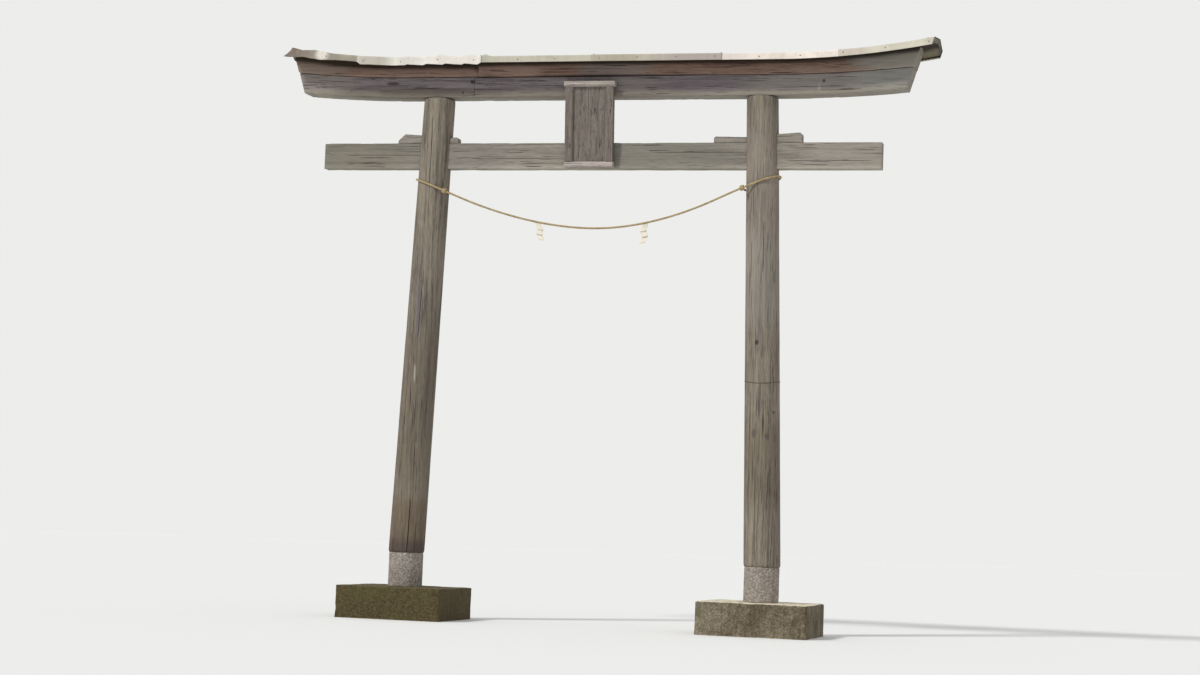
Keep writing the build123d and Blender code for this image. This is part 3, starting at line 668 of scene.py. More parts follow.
def concrete_finish(name, pale, dark, moss, seed, mossy, pores=1.0):
    """Rough cast concrete: painted light on its upper faces and painted shade on its sides, stained at the
    sides, with moss in its hollows.
    """
    paint = Finish(name)
    shift = (seed * 4.1, seed * 2.7, seed * 1.3)
    own = paint.stretch(shift=shift)
    clouds = paint.noise(own, 5.0, 9.0, 0.68)
    patches = paint.noise(own, 17.0, 9.0, 0.74)
    grit = paint.noise(own, 210.0, 5.0, 0.75)
    runs = paint.noise(paint.stretch((34.0, 34.0, 2.5), shift=shift), 1.0, 7.0, 0.65)
    hole = paint.band(paint.cells(own, 62.0)["Distance"], 0.08, 0.17, pores, 0.0)
    # Painted light and shade: faces that look up take the pale tone, the sides the dark one.
    normal = paint.put("NewGeometry", {}).outputs["Normal"]
    upward = paint.band(paint.axis("Z", normal), 0.25, 0.85)
    lumps = paint.noise(own, 78.0, 3.0, 0.7)
    gravel = paint.cells(own, 105.0)
    stones, edges = gravel["Color"], gravel["Distance"]
    paler_side = tuple(0.22 * a + 0.78 * b for a, b in zip(pale, dark))
    side = paint.mix(paint.band(clouds, 0.36, 0.68), dark, paler_side)
    side = paint.mix(paint.band(runs, 0.46, 0.70, 0.0, 0.4), side, shaded(dark, 0.62))
    base = paint.mix(upward, side, paint.mix(paint.band(patches, 0.30, 0.52), dark, pale))
    base = paint.mix(0.75, base, paint.band(stones, 0.15, 0.85, 0.62, 1.24), "MULTIPLY")
    base = paint.mix(0.8, base, paint.band(lumps, 0.3, 0.7, 0.66, 1.30), "MULTIPLY")
    base = paint.mix(paint.band(grit, 0.50, 0.74, 0.0, 0.22), base, pale)
    base = paint.mix(paint.band(grit, 0.30, 0.46, 0.40, 0.0), base, shaded(dark, 0.5))
    growth = paint.math("ADD", paint.times(clouds, 0.55), paint.times(patches, 0.45))
    growth = paint.math("ADD", growth, paint.times(paint.math("SUBTRACT", lumps, 0.5), 0.20))
    low, high = 0.64 - mossy * 0.20, 0.76 - mossy * 0.20
    green = paint.mix(paint.band(grit, 0.35, 0.65), shaded(moss, 0.6), shaded(moss, 1.25))
    base = paint.mix(paint.band(growth, low, high, 0.0, 0.7), base, green)
    base = paint.mix(paint.times(hole, 0.6), base, shaded(dark, 0.5))
    height = paint.math("SUBTRACT", paint.math("ADD", patches, paint.times(grit, 0.4)), hole)
    height = paint.math("SUBTRACT", paint.math("ADD", height, paint.times(lumps, 0.8)), edges)
    return paint.finish(base, paint.band(clouds, 0.3, 0.7, 0.96, 0.84), height, 0.0035, 0.2)


def straw_finish(colours):
    """Twisted rice straw: fine stems that follow the strands."""
    paint = Finish("straw")
    uv = paint.put("UVMap", {}).outputs[0]
    stems = paint.noise(paint.stretch((5.0, 420.0, 1.0), uv), 1.0, 3.0, 0.6)
    clouds = paint.noise(paint.place, 30.0, 4.0, 0.6)
    base = paint.mix(paint.band(stems, 0.35, 0.62), colours.straw_dark, colours.straw_pale)
    base = paint.mix(paint.band(clouds, 0.45, 0.75, 0.0, 0.5), base, colours.straw_dark)
    return paint.finish(base, 0.85, stems, 0.0012, 0.25)


def paper_finish(colours):
    """Plain folded paper."""
    paint = Finish("paper")
    fibres = paint.noise(paint.place, 260.0, 4.0, 0.7)
    clouds = paint.noise(paint.place, 24.0, 3.0, 0.5)
    tone = colours.paper
    base = paint.mix(paint.band(clouds, 0.4, 0.7, 0.0, 0.3), tone, shaded(tone, 0.78))
    return paint.finish(base, 0.9, fibres, 0.0003, 0.2)


def tones_of(look, name):
    """The pale, the middle and the dark tone of a wood."""
    return [getattr(look, f"{name}_{tone}") for tone in ("pale", "middle", "dark")]


def metal_finish(name, tone, rust, seed, rim=None):
    """Dull metal with a little rust, and painted shade on a rim where the points say so."""
    paint = Finish(name)
    clouds = paint.noise(paint.stretch(shift=(seed, seed, 0.0)), 22.0, 6.0, 0.65)
    fine = paint.noise(paint.place, 240.0, 3.0, 0.6)
    base = paint.mix(paint.band(clouds, 0.48, 0.68, 0.0, 0.8), tone, rust)
    base = paint.mix(paint.band(fine, 0.5, 0.75, 0.0, 0.4), base, shaded(tone, 0.5))
    if rim is not None:
        base = paint.mix(paint.band(paint.attribute("rim"), 0.2, 0.7), base, rim)
    paint.shader.inputs["Metallic"].default_value = 0.35
    return paint.finish(base, paint.band(clouds, 0.3, 0.7, 0.5, 0.8), fine, 0.0006, 0.4)


# What several pieces share


def groups(context, *names):
    """The groups of settings with these names."""
    return [getattr(context.scene, f"torii_{name}") for name in names]


def swept(base, radius, x, start):
    """Height at x of a line that is level in the middle and curves up towards its ends."""
    run = np.maximum(np.abs(x) - start, 0.0)
    return base + radius - np.sqrt(radius**2 - run**2)


def pillar_centre(sizes, height):
    """Distance of a pillar's axis from the middle of the gate at a height."""
    return sizes.pillar_spacing / 2 - (height - sizes.pillar_foot) * math.tan(sizes.lean)


def pillar_radius(sizes, height):
    """Radius of a tapered pillar at a height."""
    share = (height - sizes.pillar_foot) / (sizes.lower_underside - sizes.pillar_foot)
    return (sizes.foot_diameter + (sizes.top_diameter - sizes.foot_diameter) * share) / 2


def seam_height(sizes):
    """Height of the seam between the lintels in the middle of the gate."""
    return sizes.lower_underside + sizes.lower_height


def ridge_height(sizes):
    """Height of the upper lintel's ridge in the middle of the gate."""
    return seam_height(sizes) + sizes.upper_height


def slanted_end(sizes, roof, side, height, set_back):
    """x at a height on the slanted plane that cuts off the lintels, or the roof where set_back is 0."""
    return side * (roof.half_length - set_back + (height - seam_height(sizes)) * math.tan(sizes.end_slant))


# Pieces, each group with its tables, its own shapes and its operator


class TORII_OT_stage(bpy.types.Operator):
    """Makes the studio floor, the lamps, the sky and the camera at the photograph's place"""

    bl_idname = "torii.stage"
    bl_label = "Stage and camera"

    def execute(self, context):
        scene = context.scene
        scene.view_settings.view_transform = "Standard"
        reach, count = 60.0, 48
        turns = [2 * math.pi * k / count for k in range(count)]
        points = [(0.0, 0.0, 0.0)]
        for ring in (0.3, 0.6, 1.0):
            points += [(reach * ring * math.cos(turn), reach * ring * math.sin(turn), 0.0) for turn in turns]
        faces = [[0, 1 + k, 1 + (k + 1) % count] for k in range(count)]
        faces += [quad[::-1] for quad in net_faces(3, count, start=1)]
        floor = new_mesh("stage_floor", points, faces)
        paint = Finish("stage_floor").finish(scene.torii_colours.floor, 0.95, None, 0.0, 0.1)
        floor.data.materials.append(paint)

        world = bpy.data.worlds.new("studio")
        world.use_nodes = True
        tree = world.node_tree
        tree.nodes.clear()
        path = put_node(tree, "ShaderNodeLightPath", {}).outputs
        seen = path["Is Camera Ray"]
        for name in ("Is Glossy Ray", "Is Transmission Ray"):
            seen = put_node(tree, "ShaderNodeMath", {0: seen, 1: path[name]}, operation="MAXIMUM").outputs[0]
        light = put_node(tree, "ShaderNodeBackground", {"Color": (0.97, 0.98, 1.0), "Strength": 0.62})
        pale = put_node(tree, "ShaderNodeBackground", {"Color": (0.846, 0.849, 0.834), "Strength": 1.0})
        mix = put_node(tree, "ShaderNodeMixShader", {0: seen, 1: light.outputs[0], 2: pale.outputs[0]})
        put_node(tree, "ShaderNodeOutputWorld", {0: mix.outputs[0]})
        scene.world = world

        lamp = bpy.data.lights.new("key", "SUN")
        lamp.energy = 1.95
        lamp.angle = math.radians(7.0)
        lamp.color = (1.0, 0.985, 0.96)
        key = linked("key", lamp)
        key.rotation_euler = Vector((-0.46, -0.66, 0.72)).to_track_quat("Z", "Y").to_euler()

        data = bpy.data.cameras.new("camera")
        data.lens, data.sensor_width = 71.73, 36.0
        data.clip_end = 400.0
        camera = linked("camera", data)
        heading, pitch, roll = (math.radians(value) for value in (14.379, 4.597, 2.217))
        turn = Matrix.Rotation(heading, 4, "Z") @ Matrix.Rotation(math.pi / 2 + pitch, 4, "X")
        camera.matrix_world = Matrix.Translation((4.0, -15.32, 0.64)) @ turn @ Matrix.Rotation(roll, 4, "Z")
        scene.camera = camera
        return {"FINISHED"}


# The rope's free span: distances from the middle and drops below the tie beam
ROPE_SPAN = (
    (-0.94, 0.193), (-0.79, 0.252), (-0.62, 0.307), (-0.445, 0.353), (-0.265, 0.387), (-0.085, 0.407),
    (0.095, 0.41), (0.275, 0.392), (0.45, 0.356), (0.62, 0.306), (0.785, 0.242), (0.94, 0.17),
)


def rope_turn(sizes, rope, side, height):
    """Points of a turn from beside the free span, across the front and round to the knot."""
    count = 8
    ring = (pillar_radius(sizes, height) + rope.diameter / 2 + rope.gap) / math.cos(math.pi / count)
    points = []
    for number in range(count):
        turn = math.radians(90 + (number - 0.5) * 360 / count)
        outward = -ring * math.cos(turn)
        across = side * (pillar_centre(sizes, height) + outward)
        points.append(Vector((across, -ring * math.sin(turn), height + rope.tilt * outward)))
    return points


def rope_places(sizes, rope):
    """The rope's points from the left knot to the right one, and the two knots' places."""
    drops = {-1: rope.left_drop, 1: rope.right_drop}
    heights = {side: sizes.beam_underside - drop for side, drop in drops.items()}
    turns = {side: rope_turn(sizes, rope, side, heights[side]) for side in (-1, 1)}
    fronts = {side: -(pillar_radius(sizes, heights[side]) + rope.diameter / 2 + rope.gap) for side in (-1, 1)}
    span = []
    for x, drop in ROPE_SPAN:
        share = (x - ROPE_SPAN[0][0]) / (ROPE_SPAN[-1][0] - ROPE_SPAN[0][0])
        span.append(Vector((x, fronts[-1] + (fronts[1] - fronts[-1]) * share, sizes.beam_underside - drop)))
    knots = {}
    for side, neighbour in ((-1, span[0]), (1, span[-1])):
        first, last = turns[side][0], turns[side][-1]
        along = neighbour - first
        knots[side] = first + along * ((last.x - first.x) / along.x)
    back = Vector((0.0, rope.knot_diameter / 2 + 0.0012, -rope.diameter / 4))
    points = [knots[-1] + back, *reversed(turns[-1]), *span, *turns[1], knots[1] + back]
    return points, knots


def line_of(points):
    """The points of a smooth curve that is led by the given points."""
    curve = bpy.data.curves.new("route", "CURVE")
    curve.dimensions = "3D"
    spline = curve.splines.new("NURBS")
    spline.points.add(len(points) - 1)
    for point, place in zip(spline.points, points):
        point.co = (*place, 1.0)
    spline.order_u = 3
    spline.use_endpoint_u = True
    spline.resolution_u = 18
    holder = linked("route", curve)
    mesh = evaluated(holder)
    places = np.array([v.co for v in mesh.vertices], float)
    bpy.data.meshes.remove(mesh)
    bpy.data.objects.remove(holder)
    bpy.data.curves.remove(curve)
    return places


def carried_frames(places):
    """Two directions across a line at each of its points, carried along without twist."""
    tangents = np.gradient(places, axis=0)
    tangents /= np.linalg.norm(tangents, axis=1)[:, None]
    side = np.cross(tangents[0], (0.0, 0.0, 1.0))
    side /= np.linalg.norm(side)
    sides = []
    for tangent in tangents:
        side = side - tangent * (side @ tangent)
        side = side / np.linalg.norm(side)
        sides.append(side)
    sides = np.array(sides)
    return tangents, sides, np.cross(tangents, sides)


def loose_straws(places, sides, ups, steps, radius, count, seed):
    """Thin closed spikes that start inside a rope and lean away along it, as points, faces and UVs."""
    random = np.random.default_rng(seed)
    points, faces, uvs = [], [], []
    for _ in range(count):
        row = int(random.integers(6, len(places) - 7))
        turn, way = random.uniform(0, 2 * math.pi), random.choice((-1, 1))
        along = places[row + way] - places[row - way]
        along /= np.linalg.norm(along)
        out = math.cos(turn) * sides[row] + math.sin(turn) * ups[row]
        beside = np.cross(along, out)
        spans = ((0.009, 0.016), (0.0006, 0.0018), (0.0003, 0.0006), (-0.002, 0.002))
        reach, rise, thick, bend = (random.uniform(*span) for span in spans)
        base = len(points)
        for share, wide in ((0.0, 1.0), (0.55, 0.8), (1.0, 0.25)):
            lift = radius * 0.82 + (radius * 0.18 + rise) * share
            centre = places[row] + along * reach * share + out * lift + beside * bend * share**2
            for spin in (0.0, 2.0944, 4.1888):
                points.append(centre + (out * math.cos(spin) + beside * math.sin(spin)) * thick * wide)
                uvs.append((steps[row] + reach * share, turn * radius))
        for ring in range(2):
            for k in range(3):
                a, b = base + ring * 3 + k, base + ring * 3 + (k + 1) % 3
                faces.append([a, b, b + 3, a + 3])
        faces += [[base + 2, base + 1, base], [base + 6, base + 7, base + 8]]
    return points, faces, uvs


def tube(name, places, radius, around=12, lobes=0, lay=0.06, valley=0.0, taper=0.0, straws=0):
    """A closed tube along a line; with lobes, a rope's strands that twist round it, and its loose straws."""
    tangents, sides, ups = carried_frames(places)
    steps = np.concatenate([[0], np.cumsum(np.linalg.norm(np.diff(places, axis=0), axis=1))])
    turn = np.linspace(0, 2 * np.pi, around, endpoint=False)
    twist = 2 * np.pi * steps / lay
    phase = turn[None, :] - twist[:, None]
    reach = np.full(phase.shape, float(radius))
    if lobes:
        reach = radius * (1 - valley * (1 - np.abs(np.cos(phase * lobes / 2)) ** 0.75))
    if taper:
        end = np.minimum(steps, steps[-1] - steps)
        reach = reach * (0.45 + 0.55 * np.sqrt(np.clip(end / taper, 0, 1)))[:, None]
    spread = np.cos(turn)[None, :, None] * sides[:, None, :] + np.sin(turn)[None, :, None] * ups[:, None, :]
    points = places[:, None, :] + spread * reach[:, :, None]
    rows = len(places)
    faces = net_faces(rows, around)
    faces += [list(range(around))[::-1], list(range((rows - 1) * around, rows * around))]
    uv = np.stack(np.broadcast_arrays(steps[:, None], (phase / 2 / np.pi) * radius * 6.28), -1)
    points, uv = points.reshape(-1, 3), uv.reshape(-1, 2)
    if straws:
        more, spikes, places_on = loose_straws(places, sides, ups, steps, radius, straws, 7)
        faces += [[k + len(points) for k in face] for face in spikes]
        points, uv = np.concatenate([points, more]), np.concatenate([uv, places_on])
    return new_mesh(name, points, faces, uv=uv, sharp=70.0)


def winding_line(rope, route, knot, winding):
    """The turns of a knot's winding round the rope, where the route passes the knot."""
    beside = (np.abs(route[:, 0]) < abs(knot.x) + 0.05) & (route[:, 1] < -0.05)
    apart = np.linalg.norm(route - np.array(knot), axis=1)
    near = int(np.argmin(np.where(beside, apart, np.inf)))
    along = Vector(route[near + 2] - route[near - 2]).normalized()
    across = along.cross(Vector((0, 0, 1))).normalized()
    up = across.cross(along)
    centre = Vector(route[near])
    reach = rope.diameter / 2 + winding * 0.92
    turns, helix = 3.0, []
    for share in np.linspace(0, 1, 72):
        spin = 2 * math.pi * turns * share + math.radians(200)
        slide = (share - 0.5) * (rope.knot_length - 2 * winding)
        helix.append(centre + along * slide + (across * math.cos(spin) + up * math.sin(spin)) * reach)
    return np.array(helix)


def make_streamers(rope, route, paper):
    """Hangs the two folded paper streamers on the rope."""
    papers = (
        ("left", -0.350, 1.0, rope.left_fold, rope.blown),
        ("right", 0.380, -1.0, rope.right_fold, 0.0),
    )
    count = 9
    down, wide = np.meshgrid(np.linspace(0.0, 1.0, count), np.linspace(-0.5, 0.5, count), indexing="ij")
    free = route[60:-60]
    for name, x, drift, tall, blown in papers:
        low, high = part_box(f"{name}_streamer")
        top, beside = np.interp((x, x + 0.02), free[:, 0], free[:, 2]) - rope.diameter / 2
        lean = (beside - top) / 0.02
        points, faces = [], []
        for fold in range(3):
            step = drift * rope.paper_step * (1 - down if fold % 2 else down)
            across = step + wide * rope.paper_width + blown * ((fold + down) / 3 - 0.4)
            curl = 0.0035 * np.sin(3.1 * down + fold) * (1 + wide) + 0.0015 * (fold - 1)
            y = (low.y + high.y) / 2 + curl + 0.001 * fold * wide
            z = top + 0.002 - fold * (tall - rope.paper_overlap) - down * tall + across * lean
            points.append(np.stack([x + across, y, z], -1))
            faces += net_faces(count, count, closed=False, start=count**2 * fold)
        strip = new_mesh(f"{name}_paper_streamer", points, faces)
        thicken(strip, 0.0004, 0.0)
        dress(strip, paper, "streamer_paper", f"{name}_streamer")


class TORII_OT_rope(bpy.types.Operator):
    """Makes the straw rope with its knots and the folded paper streamers"""

    bl_idname = "torii.rope"
    bl_label = "Rope and streamers"

    def execute(self, context):
        sizes, rope, look = groups(context, "sizes", "rope", "colours")
        straw = straw_finish(look)
        points, knots = rope_places(sizes, rope)
        route = line_of(points)
        piece = tube(
            "straw_rope", route, rope.diameter / 2, 24, rope.strands, rope.lay, rope.valley,
            straws=rope.straws,
        )
        dress(piece, straw, "straw_rope", "rope")
        winding = (rope.knot_diameter - rope.diameter) / 4
        for side, name in ((-1, "left"), (1, "right")):
            line = winding_line(rope, route, knots[side], winding)
            knot = tube(f"{name}_knot_winding", line, winding, 14, 3, rope.lay * 0.7, 0.2, winding)
            dress(knot, straw, "straw_rope", f"{name}_rope_knot")
        tuple(points[0])
        make_streamers(rope, route, paper_finish(look))
        return {"FINISHED"}


# Cracks of the left and the right pillar: column of the net, lower and upper height, width and depth
PILLAR_CRACKS = {
    -1: (
        (62, 0.43, 0.8, 0.006, 0.022), (57, 1.88, 2.3, 0.004, 0.012), (48, 0.95, 1.72, 0.003, 0.009),
        (72, 2.45, 2.95, 0.003, 0.01), (36, 1.3, 2.6, 0.004, 0.012), (8, 0.6, 2.2, 0.006, 0.02),
        (95, 1.9, 3.0, 0.004, 0.014),
    ),
    1: (
        (52, 0.46, 1.1, 0.003, 0.009), (60, 2.36, 2.68, 0.004, 0.011), (68, 1.32, 1.86, 0.003, 0.01),
        (40, 0.55, 1.6, 0.003, 0.01), (5, 0.8, 2.6, 0.006, 0.02), (88, 0.46, 1.4, 0.004, 0.014),
    ),
}
# Stains of the left and the right pillar: centre, size, colour and share
PILLAR_STAINS = {
    -1: (
        ((-1.18, 0.0, 1.4), (0.4, 0.4, 0.75), (98, 88, 75), 0.5),
        ((-1.21, 0.0, 0.62), (0.4, 0.4, 0.22), (94, 76, 56), 0.5),
        ((-1.163, -0.09, 2.08), (0.02, 0.12, 0.22), (98, 90, 100), 0.6),
        ((-1.172, -0.1, 1.64), (0.006, 0.12, 0.07), (186, 180, 166), 0.6),
        ((-1.212, 0.0, 0.44), (0.3, 0.3, 0.11), (80, 68, 64), 0.75),
    ),
    1: (
        ((1.18, 0.0, 1.1), (0.4, 0.4, 0.34), (96, 86, 70), 0.45),
        ((1.15, 0.0, 2.3), (0.4, 0.4, 0.36), (158, 154, 146), 0.3),
        ((1.14, 0.0, 2.9), (0.4, 0.4, 0.5), (160, 148, 140), 0.25),
        ((1.15, -0.105, 1.89), (0.015, 0.05, 0.02), (62, 53, 48), 0.9),
        ((1.15, -0.105, 1.3), (0.016, 0.05, 0.034), (84, 76, 74), 0.7),
        ((1.236, -0.105, 1.28), (0.014, 0.05, 0.026), (86, 77, 74), 0.7),
        ((1.27, -0.09, 1.44), (0.01, 0.05, 0.014), (74, 66, 62), 0.7),
    ),
}


def cut_mortise(piece, sizes, wedge, side, name):
    """Cuts the hole for the tie beam and its wedges, with a little air round them."""
    air = 0.0016
    low = sizes.beam_underside - air
    beam_top = sizes.beam_underside + sizes.beam_height
    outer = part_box(f"{name}_outer_wedge")[1].z + air
    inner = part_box(f"{name}_inner_wedge")[1].z + air
    middle = pillar_centre(sizes, beam_top)
    reach = sizes.foot_diameter * 0.75
    half = sizes.beam_thickness / 2 + air
    near, far = middle - reach, middle + reach
    tip_air = 0.002
    line = [(near, low), (far, low), (far, outer), (middle, beam_top + wedge.outer_tip + tip_air)]
    line += [(middle, beam_top + wedge.inner_tip + tip_air), (near, inner)]
    points = [(side * x, y, z) for y in (-half, half) for x, z in line]
    count = len(line)
    faces = [list(range(count)), list(range(count, 2 * count))[::-1]]
    faces += [[k, k + count, (k + 1) % count + count, (k + 1) % count] for k in range(count)]
    if side < 0:
        faces = [face[::-1] for face in faces]
    cutter = new_mesh("cutter", points, faces)
    cut = piece.modifiers.new("mortise", "BOOLEAN")
    cut.operation, cut.solver, cut.object = "DIFFERENCE", "EXACT", cutter
    applied(piece)
    piece.data.set_sharp_from_angle(angle=math.radians(50))
    bpy.data.objects.remove(cutter)


def tie_wire(sizes, look):
    """Makes the thin dark wire round the right pillar."""
    height, thick = 1.640, 0.0018
    turn = np.linspace(0, 2 * np.pi, 96, endpoint=False)
    outward = np.stack([np.cos(turn), np.sin(turn), 0 * turn], -1)
    centre = (pillar_centre(sizes, height), 0.0, height)
    places = outward * (pillar_radius(sizes, height) + 0.0006) + centre
    places[:, 2] += 0.004 * np.cos(2 * turn) - 0.010 * np.maximum(0.0, -np.sin(turn))
    ahead = np.roll(places, -1, 0) - np.roll(places, 1, 0)
    ahead /= np.linalg.norm(ahead, axis=1)[:, None]
    upward = np.cross(outward, ahead)
    spin = np.linspace(0, 2 * np.pi, 8, endpoint=False)[None, :, None]
    ring = np.cos(spin) * outward[:, None, :] + np.sin(spin) * upward[:, None, :]
    points = (places[:, None, :] + ring * thick).reshape(-1, 3)
    faces = [[k % len(points) for k in quad[::-1]] for quad in net_faces(len(places) + 1, 8)]
    piece = new_mesh("right_pillar_wire", points, faces)
    dress(piece, metal_finish("wire", linear(92, 84, 76), linear(112, 82, 62), 2), "pillar_wood")


class TORII_OT_pillars(bpy.types.Operator):
    """Makes the two leaning, cracked pillars with the tie beam's mortises"""

    bl_idname = "torii.pillars"
    bl_label = "Pillars"

    def execute(self, context):
        sizes, wedge, look = groups(context, "sizes", "wedges", "colours")
        foot, head = sizes.pillar_foot, sizes.lower_underside
        tall = head - foot
        rounding = head - sizes.head_round * (1 - np.sin(np.radians((0, 20, 45, 68))))
        stations = (np.unique(np.append(np.linspace(foot, head, 172), rounding)) - foot) / tall
        for side, name in ((-1, "left"), (1, "right")):

            def radius(t):
                height = foot + t * tall
                size = pillar_radius(sizes, height)
                drop = np.clip((height - (head - sizes.head_round)) / sizes.head_round, 0.0, 1.0)
                size = size - sizes.head_round * (1 - np.sqrt(1 - drop**2)) * 0.98
                return size - np.clip(sizes.foot_bevel - (height - foot), 0.0, None)

            def place(t, a, b, side=side):
                height = foot + t * tall
                return np.stack([side * pillar_centre(sizes, height) + a, b, height + 0 * a], -1)

            cracks = [
                (column, (low - foot) / tall, (high - foot) / tall, *cut)
                for column, low, high, *cut in PILLAR_CRACKS[side]
            ]
            piece = timber(
                f"{name}_weathered_pillar", Round(sizes.foot_diameter / 2), place, stations, 112,
                11 + side, cracks, radius, 0.001, 0.0014,
            )
            cut_mortise(piece, sizes, wedge, side, name)
            finish = timber_finish(
                f"{name}_pillar_wood", "Z", *tones_of(look, "pillar"), look.crack, 3 + side,
                stains_and_shading=PILLAR_STAINS[side], cloudy=0.4,
            )
            dress(piece, finish, "pillar_wood", f"{name}_pillar")
        tie_wire(sizes, look)
        return {"FINISHED"}


# Stains of the lower and the upper lintel, with a painted shadow along the seam between them
LOWER_STAINS_AND_SHADE = (
    ((-1.35, -0.08, 3.545), (0.6, 0.12, 0.052), (98, 91, 82), 0.6),
    ((-0.1, -0.08, 3.54), (0.95, 0.12, 0.05), (108, 98, 93), 0.5),
    ((-1.9, -0.08, 3.64), (0.26, 0.12, 0.08), (146, 138, 130), 0.6),
    ((1.35, -0.08, 3.605), (0.45, 0.12, 0.06), (148, 143, 137), 0.55),
    ((0.25, -0.08, 3.605), (0.22, 0.12, 0.04), (138, 130, 126), 0.5),
    ((1.92, -0.08, 3.65), (0.28, 0.12, 0.11), (150, 149, 142), 0.7),
    # Painted shadow: a thin dark line on the lower lintel's top edge, under the upper lintel's overhang.
    ((-0.1, -0.08, 3.655), (0.9, 0.12, 0.01), (52, 44, 42), 0.65),
    ((1.53, -0.08, 3.61), (0.011, 0.05, 0.013), (66, 58, 56), 0.8),
    ((1.5, -0.08, 3.57), (0.01, 0.05, 0.03), (168, 164, 154), 0.6),
    ((-1.43, -0.08, 3.615), (0.055, 0.05, 0.013), (62, 54, 52), 0.8),
    ((-0.865, -0.08, 3.622), (0.018, 0.05, 0.016), (52, 42, 40), 0.85),
    ((-0.93, -0.08, 3.55), (0.01, 0.05, 0.012), (70, 60, 58), 0.7),
    ((0.75, -0.08, 3.6), (0.36, 0.12, 0.07), (110, 99, 108), 0.45),
)
UPPER_STAINS_AND_SHADE = (
    ((-0.835, -0.095, 3.7), (0.02, 0.05, 0.022), (96, 46, 40), 0.8),
    ((0.12, -0.095, 3.7), (0.3, 0.12, 0.09), (140, 130, 124), 0.6),
    # Painted shadow: a thin dark line on the upper lintel's lower edge, along the seam.
    ((-0.1, -0.095, 3.655), (0.9, 0.12, 0.01), (52, 44, 42), 0.65),
    ((-0.56, -0.095, 3.69), (0.2, 0.12, 0.06), (162, 134, 120), 0.65),
    ((-1.25, -0.095, 3.68), (0.55, 0.12, 0.05), (158, 132, 118), 0.55),
    ((-1.98, -0.095, 3.74), (0.3, 0.12, 0.09), (152, 136, 122), 0.7),
    ((2.0, -0.095, 3.76), (0.36, 0.12, 0.12), (152, 148, 138), 0.85),
)


def make_tie_beam(sizes, look):
    """Makes the beam that passes through both pillars."""
    half, low = sizes.beam_length / 2, sizes.beam_underside
    thick, high = sizes.beam_thickness / 2, sizes.beam_height

    def place(t, a, b):
        return np.stack([half * (2 * t - 1) + 0 * a, a, low + b], -1)

    section = Outline([(-thick, 0), (thick, 0), (thick, high), (-thick, high)], 0.004)
    cracks = (
        (72, 0.04, 0.2, 0.003, 0.008), (76, 0.3, 0.42, 0.003, 0.008), (69, 0.6, 0.78, 0.003, 0.009),
        (79, 0.84, 0.985, 0.004, 0.01), (30, 0.1, 0.45, 0.004, 0.01), (36, 0.55, 0.9, 0.004, 0.01),
    )
    piece = timber(
        "weathered_tie_beam", section, place, np.linspace(0, 1, 172), 88, 21, cracks,
        rough=0.001, wear=0.003,
    )
    finish = timber_finish(
        "tie_beam_wood", "X", *tones_of(look, "beam"), look.crack, 5,
        edge=(0.20, 0.07, look.beam_pale), cloudy=0.45, ends=look.end_grain,
        heart=(0.0, 0.012, low + 0.030), stains_and_shading=(
            ((-1.72, 0.0, low + 0.09), (0.5, 0.3, 0.4), (112, 108, 94), 0.55),
            ((-1.0, 0.0, low + 0.09), (0.4, 0.3, 0.4), (122, 118, 112), 0.4),
            ((0.5, 0.0, low + 0.09), (0.5, 0.3, 0.4), (118, 116, 106), 0.55),
            ((1.72, 0.0, low + 0.09), (0.36, 0.3, 0.4), (160, 152, 142), 0.35),
        ),
    )
    dress(piece, finish, "weathered_wood", "tie_beam")


def lintel_place(sizes, roof, x_from, x_to, base, base_radius, top, top_radius, height):
    """Where a length of a lintel lies, between two lines that rise towards the ends on their own radii."""
    start = sizes.sweep_start

    def level(x, share):
        under, over = swept(base, base_radius, x, start), swept(top, top_radius, x, start)
        return under + share * (over - under)

    def place(t, a, b):
        share = b / height
        ends = []
        for side, end in ((-1, x_from), (1, x_to)):
            x = np.full(np.shape(a), end if end is not None else side * 2.1)
            for _ in range(3 if end is None else 0):
                x = slanted_end(sizes, roof, side, level(x, share), roof.end_overhang)
            ends.append(x)
        x = ends[0] + (ends[1] - ends[0]) * t
        return np.stack([x, a, level(x, share)], -1)

    return place


